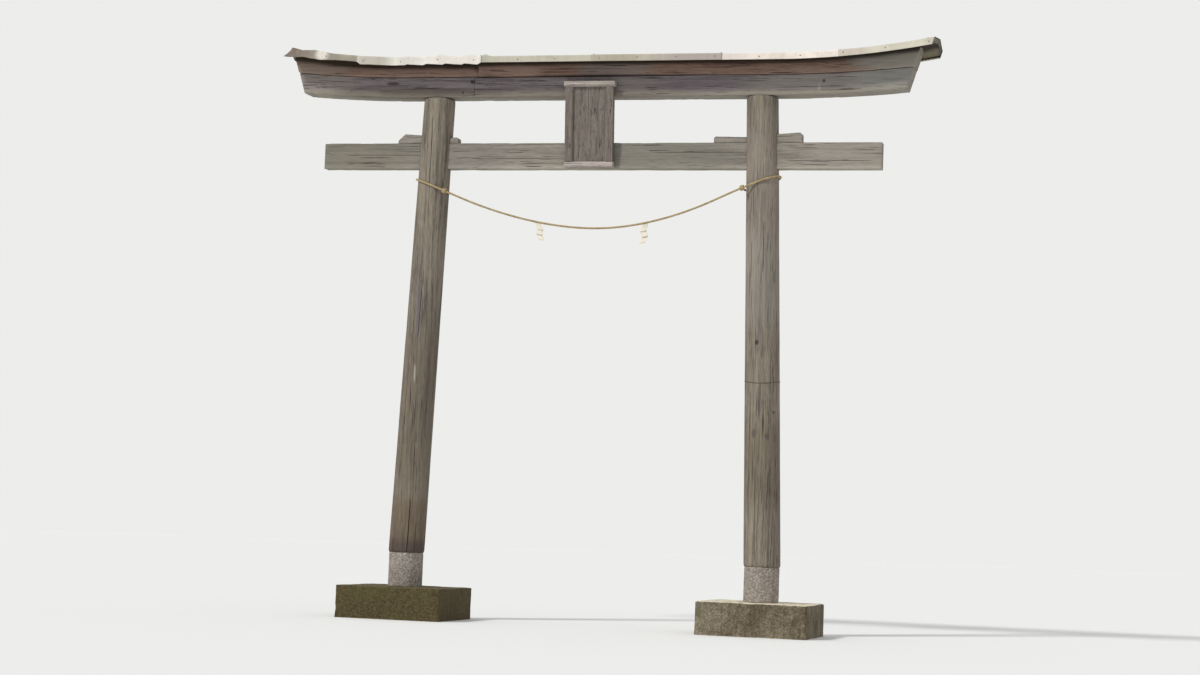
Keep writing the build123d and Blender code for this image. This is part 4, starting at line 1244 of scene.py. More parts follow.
class TORII_OT_beams(bpy.types.Operator):
    """Makes the tie beam and the four lengths of the upswept lintels"""

    bl_idname = "torii.beams"
    bl_label = "Tie beam and lintels"

    def execute(self, context):
        sizes, roof, look = groups(context, "sizes", "roof", "colours")
        make_tie_beam(sizes, look)
        seam, ridge = seam_height(sizes), ridge_height(sizes)
        seam_radius = sizes.under_radius - sizes.lower_height
        depth, tall = sizes.lower_depth / 2, sizes.lower_height
        lower_section = Outline([(-depth, 0), (depth, 0), (depth, tall), (-depth, tall)], 0.005)
        depth, tall = sizes.upper_depth / 2, sizes.upper_height
        side_top = tall - depth * math.tan(roof.slope)
        corners = [(-depth, 0), (depth, 0), (depth, side_top), (0, tall), (-depth, side_top)]
        upper_section = Outline(corners, 0.005)
        gap = 0.0008
        low = sizes.lower_underside
        lower_line = (low, sizes.under_radius, seam, seam_radius, sizes.lower_height)
        upper_line = (seam, seam_radius, ridge, sizes.ridge_radius, sizes.upper_height)
        lintels = {
            "lower": (lower_line, lower_section, LOWER_STAINS_AND_SHADE, low + 0.105),
            "upper": (upper_line, upper_section, UPPER_STAINS_AND_SHADE, low + 0.230),
        }
        rows = (
            ("lower", "left", None, sizes.lower_splice - gap, 60, 31,
             ((84, 0.1, 0.36, 0.003, 0.008), (91, 0.55, 0.93, 0.003, 0.008))),
            ("lower", "right", sizes.lower_splice + gap, None, 136, 32,
             ((88, 0.06, 0.22, 0.003, 0.008), (80, 0.52, 0.66, 0.003, 0.008),
              (92, 0.7, 0.86, 0.003, 0.009), (34, 0.2, 0.6, 0.004, 0.012))),
            ("upper", "left", None, sizes.upper_splice - gap, 60, 33, ((90, 0.2, 0.6, 0.003, 0.008),)),
            ("upper", "right", sizes.upper_splice + gap, None, 136, 34,
             ((93, 0.15, 0.35, 0.003, 0.008), (88, 0.6, 0.8, 0.003, 0.008))),
        )
        for level, side, x_from, x_to, count, seed, cracks in rows:
            line, section, stains_and_shading, pith = lintels[level]
            tones = tones_of(look, level)
            piece = timber(
                f"weathered_{level}_lintel_{side}", section,
                lintel_place(sizes, roof, x_from, x_to, *line), np.linspace(0, 1, count),
                100, seed, cracks, rough=0.001, wear=0.003,
            )
            # On the lower lintels, edge paints light on the lower band, below the roof's shadow; on the upper
            # lintels, shade is painted shade under the eave, reaching lower on the left.
            edge = (0.36, 0.11, tones[0]) if level == "lower" else None
            reach = 0.18 if side == "left" else 0.0
            shade = (0.50 - reach, 0.78 - reach, look.eave_shade) if level == "upper" else None
            finish = timber_finish(
                f"{level}_lintel_{side}_wood", "X", *tones, look.crack, seed, edge, shade, stains_and_shading,
                ends=look.end_grain, heart=(0.0, 0.0, pith),
            )
            dress(piece, finish, "lintel_wood", f"{level}_lintel_{side}")
        return {"FINISHED"}


# Spots of each roof sheet, from the left; on the two dented sheets at the left they are partly painted shade
# and painted highlight of the bent faces.
ROOF_SPOTS = (
    (((-2.14, -0.235, 3.82), (0.24, 0.14, 0.12), (114, 101, 88), 0.95),
     ((-1.895, -0.235, 3.79), (0.055, 0.08, 0.06), (226, 219, 209), 0.9)),
    (((-1.53, -0.235, 3.75), (0.18, 0.12, 0.1), (174, 168, 155), 0.85),
     ((-0.9, -0.235, 3.75), (0.18, 0.12, 0.1), (206, 200, 190), 0.5)),
    (),
    (((0.12, -0.235, 3.75), (0.26, 0.12, 0.1), (168, 161, 141), 0.8),
     ((0.7, -0.235, 3.75), (0.28, 0.12, 0.1), (166, 155, 150), 0.9)),
    (((0.88, -0.235, 3.75), (0.24, 0.12, 0.1), (206, 197, 190), 0.7),),
    (((1.72, -0.235, 3.77), (0.16, 0.12, 0.1), (196, 186, 172), 0.8),),
)


def sheet_line(half, top, bottom, slope):
    """The sheet's line across the roof: hem, fascia, eave, ridge and the same at the back."""
    eave = top - half * slope
    hem = ((0.0040, 0.0100), (0.0036, 0.0040), (0.0030, 0.0012), (0.0016, 0.0), (0.0004, 0.0010))
    front = [(-half + y, bottom + z) for y, z in hem]
    front += [(-half, z) for z in np.linspace(bottom + 0.003, eave - 0.004, 7)]
    front += [(-half + 0.0008, eave - 0.0015), (-half + 0.0030, eave + 0.0003)]
    front += [(y, top + y * slope) for y in np.linspace(-half + 0.010, -0.012, 13)]
    return np.array(front + [(0.0, top)] + [(-y, z) for y, z in reversed(front)])


def on_ridge(sizes, base, x, y, up):
    """Points at a height above the ridge line, measured square to it."""
    run = np.maximum(np.abs(x) - sizes.sweep_start, 0.0)
    tilt = np.arcsin(run / sizes.ridge_radius) * np.sign(x)
    z = swept(base, sizes.ridge_radius, x, sizes.sweep_start)
    return np.stack([x - up * np.sin(tilt), y + 0 * x, z + up * np.cos(tilt)], -1)


def crush(roof, places, y, up, eave):
    """Pushes the left front corner in and down, with everything that meets there."""
    x = places[..., 0]
    down = np.clip((eave - up) / roof.fascia, 0.0, 1.0)
    end = smooth_step(-x, 1.98, 2.27)
    drawn = end * np.interp(y, (-0.235, -0.1, 0.0, 0.15), (1.0, 0.58, 0.36, 0.0))
    bent = end * smooth_step(-y, 0.02, 0.235)
    places[..., 0] = x + drawn * (0.150 - 0.080 * down)
    places[..., 2] -= bent * (0.012 + 0.014 * down)
    places[..., 1] += bent * (0.010 + 0.004 * np.sin(x * 90))
    return places


def dent(roof, places, x, y, up, half, top, slope, number):
    """Bends the sheets as they are: waves at the eaves, and worse damage at the left front."""
    relief = Relief(60 + number)
    span = (x - x.min()) / (x.max() - x.min())
    front, back = smooth_step(-y, half * 0.55, half), smooth_step(y, half * 0.55, half)
    edge = np.maximum(front, back * 0.3)
    eave = top - half * slope
    down = np.clip((eave - up) / roof.fascia, 0.0, 1.0) * (np.abs(y) > half * 0.97)
    place = 0.02 + span * 0.9
    slope_side = np.where(y < 0, 0.1, 0.9)
    wave = relief.layers(place, slope_side, 9, 3)
    crumple = relief.layers(place, slope_side, 30, 5)
    damage = {0: (0.006, 0.005), 1: (0.004, 0.004), 2: (0.0015, 0.0010)}
    bend, crease = damage.get(number, (0.0010, 0.0006))
    out = bend * (0.5 + 0.5 * wave) * (0.35 + 0.65 * down) + crease * (0.5 + 0.5 * crumple) * down
    places[..., 1] += np.sign(y) * out * edge
    places[..., 2] += crease * 0.8 * wave * edge
    over = relief.layers(place, 0.1 + 0.8 * (y / half + 1) / 2, 7, 6)
    swell = (0.0008 + 0.0016 * (number < 2)) * (over + 0.4) * (1 - np.abs(y) / half)
    places[..., 2] += swell * smooth_step(-np.abs(x), -2.24, -2.0)
    near = smooth_step(-y, half * 0.80, half)
    if number == 0:
        swell = np.exp(-(((x + 1.93) / 0.085) ** 2)) * near
        places[..., 2] += swell * (0.011 - 0.020 * down)
        places[..., 1] -= swell * 0.006
    if number == 1:
        hang = smooth_step(span, 0.0, 0.03) * smooth_step(-span, -1.0, -0.97) * near
        leaf = np.mod((x + 1.30 + 0.03 * (1 - down)) / 0.135, 1.0)
        scallop = np.minimum(leaf * 6, 1 - leaf) * smooth_step(x, -1.36, -1.28)
        places[..., 2] += hang * (-0.012 * down + 0.008 * (scallop - 0.5))
        places[..., 1] -= hang * 0.008 * scallop * (0.3 + 0.7 * down)
    lumps = {1: ((-1.055, 0.022, 0.012), (-0.825, 0.022, 0.013)), 2: ((-0.735, 0.024, 0.012),)}
    for centre, wide, high in lumps.get(number, ()):
        lump = np.exp(-(((x - centre) / wide) ** 2)) * near * (1 - down)
        places[..., 2] += high * lump
    return places


def between_ends(sizes, roof, t, y, up, x_from, x_to, set_back):
    """x for shares t of the way between two ends; an end that isn't given is the slanted cut."""
    base = ridge_height(sizes)
    edges = []
    for side, end in ((-1, x_from), (1, x_to)):
        x = np.full(t.shape, end if end is not None else side * 2.25)
        for _ in range(5 if end is None else 0):
            place = on_ridge(sizes, base, x, y, up)
            x = x + slanted_end(sizes, roof, side, place[..., 2], set_back) - place[..., 0]
        edges.append(x)
    return edges[0] + (edges[1] - edges[0]) * t


def make_boards(sizes, roof, look, slope, eave):
    """Makes the two weathered boards under the sheets."""
    base = ridge_height(sizes)
    thick = roof.board_thickness / math.cos(roof.slope)
    set_back = roof.sheet / math.cos(sizes.end_slant) + 0.0003
    for side, name, seed in ((-1, "front", 51), (1, "back", 52)):
        near, far = side * 0.00015, side * roof.board_half_width
        corners = [(near, -abs(near) * slope), (far, -abs(far) * slope)]
        corners += [(far, thick - abs(far) * slope), (near, thick - abs(near) * slope)]
        section = Outline(corners if side > 0 else corners[::-1], 0.002)

        def place(t, a, b):
            t, a, b = np.broadcast_arrays(t, a, b)
            x = between_ends(sizes, roof, t, a, b, None, None, set_back)
            return crush(roof, on_ridge(sizes, base, x, a, b), a, b, eave)

        under = 12 if side > 0 else 66
        cracks = ((under, 0.08, 0.30, 0.003, 0.006), (under + 9, 0.45, 0.80, 0.003, 0.006))
        piece = timber(
            f"{name}_weathered_board", section, place, np.linspace(0, 1, 190), 86, seed, cracks,
            edge=0.002, rough=0.0006, wear=0.001,
        )
        # Painted shade and light: the boards take dark tones for the shade under the roof, and spots at their
        # ends paint them paler where they stand past the lintels in the light.
        lit_tips = [((end * 2.27, side * 0.2, 3.87), (0.2, 0.14, 0.3), (126, 118, 98), 0.8) for end in (-1, 1)]
        tones = tones_of(look, "soffit")
        finish = timber_finish(f"{name}_board_wood", "X", *tones, look.crack, seed, stains_and_shading=lit_tips)
        dress(piece, finish, "weathered_wood", f"{name}_roof_board")


def make_flashings(sizes, roof, look, slope, peak, bottom, half, eave):
    """Makes the folded strips that close the ends of the boards, the left one crushed at the front."""
    base = ridge_height(sizes)
    finish = metal_finish("flashing", look.flashing, linear(96, 78, 58), 4, look.rim)
    for side, name in ((-1, "left"), (1, "right")):
        y = np.concatenate([np.linspace(-half, 0, 25), np.linspace(0, half, 25)[1:]])
        peak_line = peak - np.abs(y) * slope
        low_line = np.where(np.abs(y) > half * 0.93, bottom, peak_line - 0.030)
        shares = np.linspace(0, 1, 6)[:, None]
        up = low_line[None, :] + (peak_line - low_line)[None, :] * shares
        across = np.broadcast_to(y, up.shape)
        t = np.full(up.shape, (1 + side) / 2)
        x = between_ends(sizes, roof, t, across, up, None, None, 0.0004)
        places = crush(roof, on_ridge(sizes, base, x, across, up), across, up, eave)
        relief = Relief(57 + side)
        buckle = relief.layers(across + 0.5, shares + 0 * up, 9, 2)
        places[..., 0] -= side * 0.0015 * (1 + buckle)
        faces = net_faces(6, len(y), closed=False)
        if side < 0:
            faces = [face[::-1] for face in faces]
        # Painted shade: the rim darkens the rear half and the bottom of each flashing.
        rim = np.maximum(0.75 * smooth_step(across, -0.04, 0.16), shares + 0 * up < 0.15)
        piece = new_mesh(f"{name}_bent_flashing", places, faces, marks={"rim": rim})
        thicken(piece, roof.gauge, -1.0)
        dress(piece, finish, "roof_metal", f"{name}_end_flashing")


def row_of_heads(name, lines, spacing, head, turn, seed, material):
    """Round heads along lines, laid out by Geometry Nodes with a little play, as one plain mesh."""
    points, edges = [], []
    for line in lines:
        start = len(points)
        points += [tuple(place) for place in line]
        edges += [(start + k, start + k + 1) for k in range(len(line) - 1)]
    mesh = bpy.data.meshes.new(name)
    mesh.from_pydata(points, edges, [])
    piece = linked(name, mesh)
    tree = bpy.data.node_groups.get("Row of heads") or head_tree()
    layout = piece.modifiers.new("heads", "NODES")
    layout.node_group = tree
    values = {"Spacing": spacing, "Head": head, "Turn": turn, "Seed": seed, "Material": material}
    for item in tree.interface.items_tree:
        if item.in_out == "INPUT" and item.name in values:
            layout[item.identifier] = values[item.name]
    return applied(piece)


def head_tree():
    """The node tree that sets a flattened head at even steps along each line."""
    tree = bpy.data.node_groups.new("Row of heads", "GeometryNodeTree")
    kinds = {"Spacing": "Float", "Head": "Float", "Turn": "Vector", "Seed": "Int", "Material": "Material"}
    for label, kind in {"Geometry": "Geometry", **kinds}.items():
        tree.interface.new_socket(label, in_out="INPUT", socket_type=f"NodeSocket{kind}")
    tree.interface.new_socket("Geometry", in_out="OUTPUT", socket_type="NodeSocketGeometry")
    given = tree.nodes.new("NodeGroupInput").outputs

    def add(kind, values, **settings):
        return put_node(tree, kind, values, **settings).outputs[0]

    line = add("GeometryNodeMeshToCurve", {0: given["Geometry"]})
    even = add("GeometryNodeResampleCurve", {"Curve": line, "Length": given["Spacing"]}, mode="LENGTH")
    radius = add("ShaderNodeMath", {0: given["Head"], 1: 0.5}, operation="MULTIPLY")
    head = add("GeometryNodeMeshUVSphere", {"Segments": 12, "Rings": 6, "Radius": radius})
    flat = add("GeometryNodeTransform", {"Geometry": head, "Scale": (1.0, 1.0, 0.4)})
    play = {0: (-0.006, 0.0, -0.004), 1: (0.006, 0.0, 0.004), "Seed": given["Seed"]}
    shift = add("FunctionNodeRandomValue", play, data_type="FLOAT_VECTOR")
    moved = add("GeometryNodeSetPosition", {"Geometry": even, "Offset": shift})
    layout = {"Points": moved, "Instance": flat, "Rotation": given["Turn"]}
    heads = add("GeometryNodeInstanceOnPoints", layout)
    real = add("GeometryNodeRealizeInstances", {0: heads})
    painted = add("GeometryNodeSetMaterial", {"Geometry": real, "Material": given["Material"]})
    put_node(tree, "NodeGroupOutput", {0: painted})
    return tree


def make_nails(roof, rows):
    """Sets roofing nails along the fascias and the laps."""
    zinc = metal_finish("nail_heads", linear(120, 118, 112), linear(112, 80, 58), 6)
    turns = {"front": (math.pi / 2, 0.0, 0.0), "back": (-math.pi / 2, 0.0, 0.0), "seam": (0.0, 0.0, 0.0)}
    for seed, (name, turn) in enumerate(turns.items()):
        spacing = roof.nail_spacing if name != "seam" else roof.nail_spacing * 0.45
        piece = row_of_heads(f"{name}_roof_nails", rows[name], spacing, roof.nail_head, turn, seed, zinc)
        dress(piece, None, "roof_metal")


class TORII_OT_roof(bpy.types.Operator):
    """Makes the roof boards, the folded and dented sheets over them and the end flashings"""

    bl_idname = "torii.roof"
    bl_label = "Sheet roof"

    def execute(self, context):
        sizes, roof, look = groups(context, "sizes", "roof", "colours")
        slope = math.tan(roof.slope)
        clear = 0.0002
        rise = roof.sheet / math.cos(roof.slope)
        peak = roof.board_thickness / math.cos(roof.slope) + clear
        inner = roof.board_half_width + clear
        bottom = peak + rise - (inner + roof.sheet) * slope - roof.fascia
        eave = bottom + roof.fascia
        make_boards(sizes, roof, look, slope, eave)
        make_flashings(sizes, roof, look, slope, peak - clear, bottom, inner - clear, eave)
        seams = [roof.offset + k * roof.pitch for k in range(-2, 3)]
        starts = [None] + [x - roof.lap / 2 for x in seams]
        ends = [x + roof.lap / 2 for x in seams] + [None]
        tones = (look.dull, look.white, look.cream, look.grey, look.pink, look.warm)
        dirty = (0.40, 0.16, 0.22, 0.28, 0.14, 0.20)
        base = ridge_height(sizes)
        rows = {"front": [], "back": [], "seam": []}
        # The sheets' inner faces take the dark rim colour: partly their unpainted metal, partly painted shade
        # under the roof.
        bare = metal_finish("bare_underside", look.rim, linear(74, 56, 42), 8)
        for number, (x_from, x_to) in enumerate(zip(starts, ends)):
            lapped = number % 2
            half = inner + roof.sheet + lapped * (roof.sheet + clear)
            top = peak + rise + lapped * (rise + clear)
            line = sheet_line(half, top, bottom, slope)
            count = 72
            t = np.linspace(0, 1, count)[:, None] + 0 * line[:, 0][None, :]
            y = np.broadcast_to(line[:, 0], t.shape)
            up = np.broadcast_to(line[:, 1], t.shape)
            x = between_ends(sizes, roof, t, y, up, x_from, x_to, 0.0003)
            places = on_ridge(sizes, base, x, y, up)
            places = dent(roof, places, x, y, up, half, top, slope, number)
            places = crush(roof, places, y, up, eave)
            steps = np.linalg.norm(np.diff(line, axis=0), axis=1)
            down = np.broadcast_to(np.concatenate([[0], np.cumsum(steps)]), t.shape)
            faces = net_faces(count, line.shape[0], closed=False)
            uv = np.stack([x, down], -1)
            piece = new_mesh(f"dented_sheet_{number + 1}", places, faces, uv=uv, sharp=60.0)
            finish = sheet_finish(
                f"roof_sheet_{number + 1}", tones[number], look.dirt, number + 1, dirty[number],
                ROOF_SPOTS[number],
            )
            for material in (bare, finish):
                piece.data.materials.append(material)
            thicken(piece, roof.gauge, 1.0, 1)
            dress(piece, None, "roof_metal", f"roof_sheet_{number + 1}")
            rows["front"].append(places[4:-4:3, 8])
            rows["back"].append(places[4:-4:3, -9][::-1])
            if lapped:
                rows["seam"] += [places[1, 14:-14], places[-2 if ends[number] else -6, 14:-14]]
        make_nails(roof, rows)
        return {"FINISHED"}


def cast_block(name, low, high, seed):
    """A cast block with chipped edges and a flat base."""
    relief = Relief(seed)
    marks = np.array([0, 0.003, 0.008, 0.014, 0.022, 0.034])
    size = np.array(high - low)
    centre = np.array(high + low) / 2
    grids = []
    for extent in size:
        inner = np.linspace(0.034, extent - 0.034, max(int((extent - 0.068) / 0.016), 3))[1:-1]
        grids.append(np.concatenate([marks, inner, extent - marks[::-1]]) - extent / 2)
    places, quads = [], []
    for axis in range(3):
        first, second = (k for k in range(3) if k != axis)
        shape = (len(grids[first]), len(grids[second]))
        for sign in (-1, 1):
            side = np.full((*shape, 3), sign * size[axis] / 2)
            side[..., first], side[..., second] = np.meshgrid(grids[first], grids[second], indexing="ij")
            order = (1, 2, 3, 0) if (sign > 0) == (axis == 1) else (0, 3, 2, 1)
            start = sum(len(each) for each in places)
            quads.append(np.array(net_faces(*shape, closed=False, start=start))[:, order])
            places.append(side.reshape(-1, 3))
    places = np.concatenate(places)
    # The sides share the points on their edges, and each point keeps its first place
    _, seen, same = np.unique(np.round(places, 6) + 0.0, axis=0, return_index=True, return_inverse=True)
    points = places[np.sort(seen)]
    faces = np.argsort(np.argsort(seen))[same.ravel()][np.concatenate(quads)].tolist()
    u = np.mod(np.arctan2(points[:, 1], points[:, 0]) / 2 / np.pi, 1.0)
    v = (points[:, 2] + size[2] / 2) / size[2]
    chip = 0.006 + 0.012 * smooth_step(relief.layers(u, v, 40, 6), -0.1, 0.8)
    radius = chip * smooth_step(v, 0.0, 0.25) + 0.0015
    inner = np.clip(points, -(size / 2)[None, :] + radius[:, None], (size / 2)[None, :] - radius[:, None])
    away = points - inner
    reach = np.linalg.norm(away, axis=1)
    away /= reach[:, None]
    sunk = 0.0035 * (0.5 + 0.5 * relief.layers(u, v, 14, 4, 4))
    sunk = sunk + 0.0012 * relief.random.uniform(0, 1, len(points))
    along = np.mod(points[:, 0] / size[0] / 1.01 + 0.5, 1.0)
    flat = relief.layers(along, points[:, 1] / size[1] + 0.5, 12, 12, 4)
    top = smooth_step(v, 0.96, 1.0)
    sunk = sunk * (1 - top) + top * 0.0045 * (0.5 + 0.5 * flat)
    ground = points[:, 2] <= -size[2] / 2 + 1e-6
    sunk = np.where(ground, 0.0, sunk)
    moved = inner + away * (radius - sunk)[:, None]
    moved[ground, 2] = -size[2] / 2
    return new_mesh(name, moved + centre, faces, sharp=80.0)


def cast_stub(name, low, high, seed):
    """A round cast stub with a worn upper edge."""
    relief = Relief(seed)
    around, rows = 96, 34
    radius = (high.x - low.x) / 2
    centre = (high + low) / 2
    tall = high.z - low.z
    v = np.concatenate([np.linspace(0, 0.965, rows - 5), [0.975, 0.985, 0.993, 0.998, 1.0]])
    inset = np.zeros(rows)
    inset[-5:] = 0.006 * np.array([0.1, 0.35, 0.65, 0.9, 1.2])
    turn = np.linspace(0, 1, around, endpoint=False)
    u, t = np.meshgrid(turn, v)
    sunk = 0.0030 * (0.5 + 0.5 * relief.layers(u, t, 12, 5, 4)) + inset[:, None]
    sunk = sunk + 0.0010 * relief.random.uniform(0, 1, sunk.shape)
    reach = radius - sunk

    def around_axis(reach, turn, height):
        x, y = centre.x + reach * np.cos(2 * np.pi * turn), centre.y + reach * np.sin(2 * np.pi * turn)
        return np.stack([x, y, height + 0 * turn], -1)

    points = [around_axis(reach, u, low.z + t * tall)]
    rings = (0.9, 0.75, 0.55, 0.3, 0.08)
    for level, row in ((low.z, 0), (high.z, -1)):
        for ring in rings:
            dish = -0.0015 * (0.5 + 0.5 * relief.field(turn, np.full(around, ring), 20, 4)) if row else 0.0
            points.append(around_axis(reach[row] * ring, turn, level + dish)[None])
    faces = net_faces(rows, around) + closing_faces(rows, around, len(rings))
    return new_mesh(name, np.concatenate(points), faces, sharp=70.0)


class TORII_OT_footings(bpy.types.Operator):
    """Makes the rough, mossy footings and the round plinths"""

    bl_idname = "torii.footings"
    bl_label = "Footings and plinths"

    def execute(self, context):
        look = context.scene.torii_colours
        mossy = {"left": 0.65, "right": 0.40}
        # Painted light and shade: each footing's first tone lights its upper faces and its second shades its
        # sides; at the left the upper faces are a lighter copy of the soil.
        tones = {
            "left": (shaded(look.soil, 1.45), look.soil),
            "right": (look.concrete_pale, look.concrete_dark),
        }
        for seed, name in ((41, "left"), (42, "right")):
            low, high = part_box(f"{name}_footing")
            piece = cast_block(f"{name}_rough_footing", low, high, seed)
            finish = concrete_finish(f"{name}_footing_concrete", *tones[name], look.moss, seed, mossy[name])
            dress(piece, finish, "concrete", f"{name}_footing")
            low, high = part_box(f"{name}_plinth")
            piece = cast_stub(f"{name}_rough_plinth", low, high, seed + 10)
            # Painted shade: the plinths' sides take a darker copy of their tone.
            finish = concrete_finish(
                f"{name}_plinth_concrete", look.plinth, shaded(look.plinth, 0.6), look.moss,
                seed + 5, 0.15, 0.8,
            )
            dress(piece, finish, "concrete", f"{name}_plinth")
        return {"FINISHED"}


def make_strut(sizes, look):
    """Makes the strut between the tie beam and the lower lintel, behind the plaque."""
    beam_top = sizes.beam_underside + sizes.beam_height
    tall = sizes.lower_underside - beam_top
    wide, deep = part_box("plaque_strut")[1].xy

    def upright(t, a, b):
        return np.stack(np.broadcast_arrays(a, b, beam_top + tall * t), -1)

    corners = [(-wide, -deep), (wide, -deep), (wide, deep), (-wide, deep)]
    piece = timber(
        "weathered_plaque_strut", Outline(corners, 0.003), upright, np.linspace(0, 1, 40), 60, 76,
        ((50, 0.1, 0.6, 0.003, 0.006),), edge=0.001, rough=0.0008, wear=0.002,
    )
    finish = timber_finish("strut_wood", "Z", *tones_of(look, "beam"), look.crack, 16)
    dress(piece, finish, "weathered_wood", "plaque_strut")


class TORII_OT_plaque(bpy.types.Operator):
    """Makes the bare, weathered plaque that leans forward, and the strut behind it"""

    bl_idname = "torii.plaque"
    bl_label = "Plaque and strut"

    def execute(self, context):
        sizes, plaque, look = groups(context, "sizes", "plaque", "colours")
        crack = look.crack
        pale, middle, dark = tones_of(look, "plaque")
        clear = 0.0003
        low = sizes.beam_underside + plaque.rise
        foot, head = sizes.beam_thickness / 2 + clear, sizes.lower_depth / 2 + clear
        lean = math.atan((head - foot) / (sizes.lower_underside - low))
        origin = np.array((-plaque.offset, -foot, low))
        forward = np.array((0.0, -math.cos(lean), -math.sin(lean)))
        upward = np.array((0.0, -math.sin(lean), math.cos(lean)))
        sideways = np.array((1.0, 0.0, 0.0))
        high = (seam_height(sizes) - plaque.drop - low) / math.cos(lean)
        depth, bevel = plaque.depth + plaque.step, plaque.bevel

        def leaning(across, out, along):
            across, out, along = (v[..., None] for v in np.broadcast_arrays(across, out, along))
            return origin + sideways * across + forward * out + upward * along

        def lying(width):
            return lambda t, a, b: leaning(width * (t - 0.5), -a, b)

        def standing(bottom, top):
            return lambda t, a, b: leaning(a, -b, bottom + (top - bottom) * t)

        foot_rail, head_rail = plaque.bottom_rail, high - plaque.top_rail
        over, under = head_rail + bevel, foot_rail - bevel
        rails = (
            ("top", [(-depth + bevel, head_rail), (0, head_rail), (0, high), (-depth, high), (-depth, over)],
             plaque.width + 2 * plaque.horn, 71, (pale, pale, middle)),
            ("bottom", [(-depth, 0), (0, 0), (0, foot_rail), (-depth + bevel, foot_rail), (-depth, under)],
             plaque.width + plaque.step, 72, (pale, pale, dark)),
        )
        for name, corners, width, seed, tones in rails:
            piece = timber(
                f"plaque_{name}_weathered_rail", Outline(corners, 0.002), lying(width), np.linspace(0, 1, 44),
                46, seed, ((37, 0.1, 0.4, 0.002, 0.004),), edge=0.002, rough=0.0005, wear=0.0015,
            )
            finish = timber_finish(f"plaque_{name}_rail_wood", "X", *tones, crack, seed, ends=pale)
            dress(piece, finish, "plaque_frame_wood", f"plaque_{name}_rail")
        outer, inner, front = plaque.width / 2, plaque.width / 2 - plaque.stile, -plaque.depth
        slope, depth = inner + bevel, front + bevel
        stiles = (
            ("left", [(-outer, front), (-slope, front), (-inner, depth), (-inner, 0), (-outer, 0)], 73),
            ("right", [(slope, front), (outer, front), (outer, 0), (inner, 0), (inner, depth)], 74),
        )
        tones = (middle, middle, dark)
        for name, corners, seed in stiles:
            piece = timber(
                f"plaque_{name}_weathered_stile", Outline(corners, 0.002), standing(foot_rail, head_rail),
                np.linspace(0, 1, 60), 48, seed, ((5, 0.15, 0.5, 0.002, 0.004),), edge=0.0008, rough=0.0005,
                wear=0.0012,
            )
            finish = timber_finish(f"plaque_{name}_stile_wood", "Z", *tones, crack, seed, cloudy=0.4)
            dress(piece, finish, "plaque_frame_wood", f"plaque_{name}_stile")
        face = -plaque.depth + plaque.recess
        wide = inner + 0.008
        corners = [(-wide, face), (wide, face), (wide, face + plaque.panel), (-wide, face + plaque.panel)]
        piece = timber(
            "plaque_weathered_panel", Outline(corners, 0.001), standing(foot_rail - 0.008, head_rail + 0.008),
            np.linspace(0, 1, 66), 96, 75,
            ((9, 0.05, 0.55, 0.002, 0.004), (21, 0.4, 0.97, 0.002, 0.005), (33, 0.1, 0.35, 0.002, 0.004)),
            edge=0.001, rough=0.0006,
        )
        finish = timber_finish("plaque_panel_boards", "Z", *tones, crack, 75)
        dress(piece, finish, "plaque_panel_wood", "plaque_panel")
        make_strut(sizes, look)
        return {"FINISHED"}


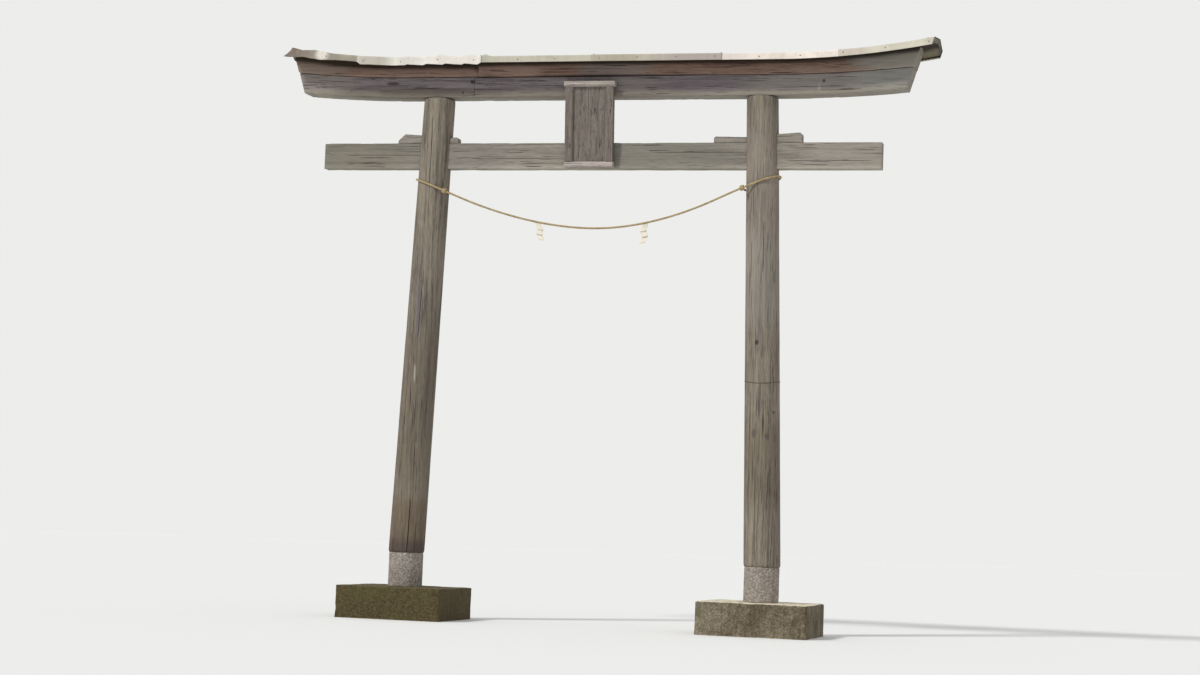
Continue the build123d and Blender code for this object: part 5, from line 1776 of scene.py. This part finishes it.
class TORII_OT_wedges(bpy.types.Operator):
    """Makes the four wedges that are driven in over the tie beam"""

    bl_idname = "torii.wedges"
    bl_label = "Wedges"

    def execute(self, context):
        sizes, wedge, look = groups(context, "sizes", "wedges", "colours")
        beam_top = sizes.beam_underside + sizes.beam_height
        middle = pillar_centre(sizes, beam_top)
        tones = tones_of(look, "beam")
        outer, inner = (wedge.outer_height, wedge.outer_tip), (wedge.inner_height, wedge.inner_tip)
        rows = (
            ("left_outer", -1, 1, wedge.outer_reach, *outer, wedge.left_bevel),
            ("left_inner", -1, -1, wedge.left_inner_reach, *inner, wedge.bevel),
            ("right_inner", 1, -1, wedge.right_inner_reach, *inner, wedge.bevel),
            ("right_outer", 1, 1, wedge.outer_reach, *outer, wedge.bevel),
        )
        for seed, (name, side, away, reach, height, tip_height, bevel) in enumerate(rows):
            end = middle + away * (pillar_radius(sizes, beam_top) + reach)
            tip = middle + away * wedge.gap
            shoulder = end - away * bevel
            rise = (height - tip_height) / (end - middle)
            marks = [(x, tip_height + rise * (x - middle)) for x in (tip, shoulder)] + [(end, height - bevel)]
            marks.sort()
            near, far = sorted((side * tip, side * end))

            def place(t, a, b, near=near, far=far, marks=marks):
                t, a, b = np.broadcast_arrays(t, a, b)
                x = near + (far - near) * t
                tall = np.interp(np.abs(x), *zip(*marks))
                return np.stack([x, a, beam_top + b / height * tall], -1)

            half = wedge.thickness / 2
            corners = [(-half, 0), (half, 0), (half, height), (-half, height)]
            count = int((far - near) / 0.006)
            piece = timber(
                f"{name}_driven_wedge", Outline(corners, 0.003), place, np.linspace(0, 1, count), 50,
                81 + seed, ((42, 0.2, 0.8, 0.003, 0.006),), rough=0.0008, wear=0.0015,
            )
            finish = timber_finish(
                f"{name}_wedge_wood", "X", *tones, look.crack, 81 + seed, ends=look.end_grain,
            )
            dress(piece, finish, "weathered_wood", f"{name}_wedge")
        return {"FINISHED"}


class TORII_PT_gate(bpy.types.Panel):
    """Lists the gate's pieces and their settings"""

    bl_idname = "TORII_PT_gate"
    bl_label = "Torii Gate"
    bl_space_type = "VIEW_3D"
    bl_region_type = "UI"
    bl_category = "Torii"

    def draw(self, context):
        layout = self.layout
        for operator in OPERATORS:
            layout.operator(operator.bl_idname)
        for holder in GROUPS:
            box = layout.box()
            group = getattr(context.scene, holder)
            for name in group.__annotations__:
                box.prop(group, name)


OPERATORS = (
    TORII_OT_stage,
    TORII_OT_rope,
    TORII_OT_pillars,
    TORII_OT_beams,
    TORII_OT_roof,
    TORII_OT_footings,
    TORII_OT_plaque,
    TORII_OT_wedges,
)
GROUPS = {
    "torii_sizes": GateSizes,
    "torii_roof": RoofSizes,
    "torii_rope": RopeSizes,
    "torii_wedges": WedgeSizes,
    "torii_plaque": PlaqueSizes,
    "torii_colours": GateColours,
}
CLASSES = (*GROUPS.values(), *OPERATORS, TORII_PT_gate)


def register():
    """Adds the settings, the operators and the panel to Blender."""
    for each in CLASSES:
        bpy.utils.register_class(each)
    for name, group in GROUPS.items():
        setattr(bpy.types.Scene, name, PointerProperty(type=group))


def unregister():
    """Takes them out again."""
    for name in GROUPS:
        delattr(bpy.types.Scene, name)
    for each in reversed(CLASSES):
        bpy.utils.unregister_class(each)


def main():
    """Makes the whole gate."""
    register()
    bpy.ops.torii.stage()
    bpy.ops.torii.rope()
    bpy.ops.torii.pillars()
    bpy.ops.torii.beams()
    bpy.ops.torii.roof()
    bpy.ops.torii.footings()
    bpy.ops.torii.plaque()
    bpy.ops.torii.wedges()


if __name__ == "__main__":
    main()
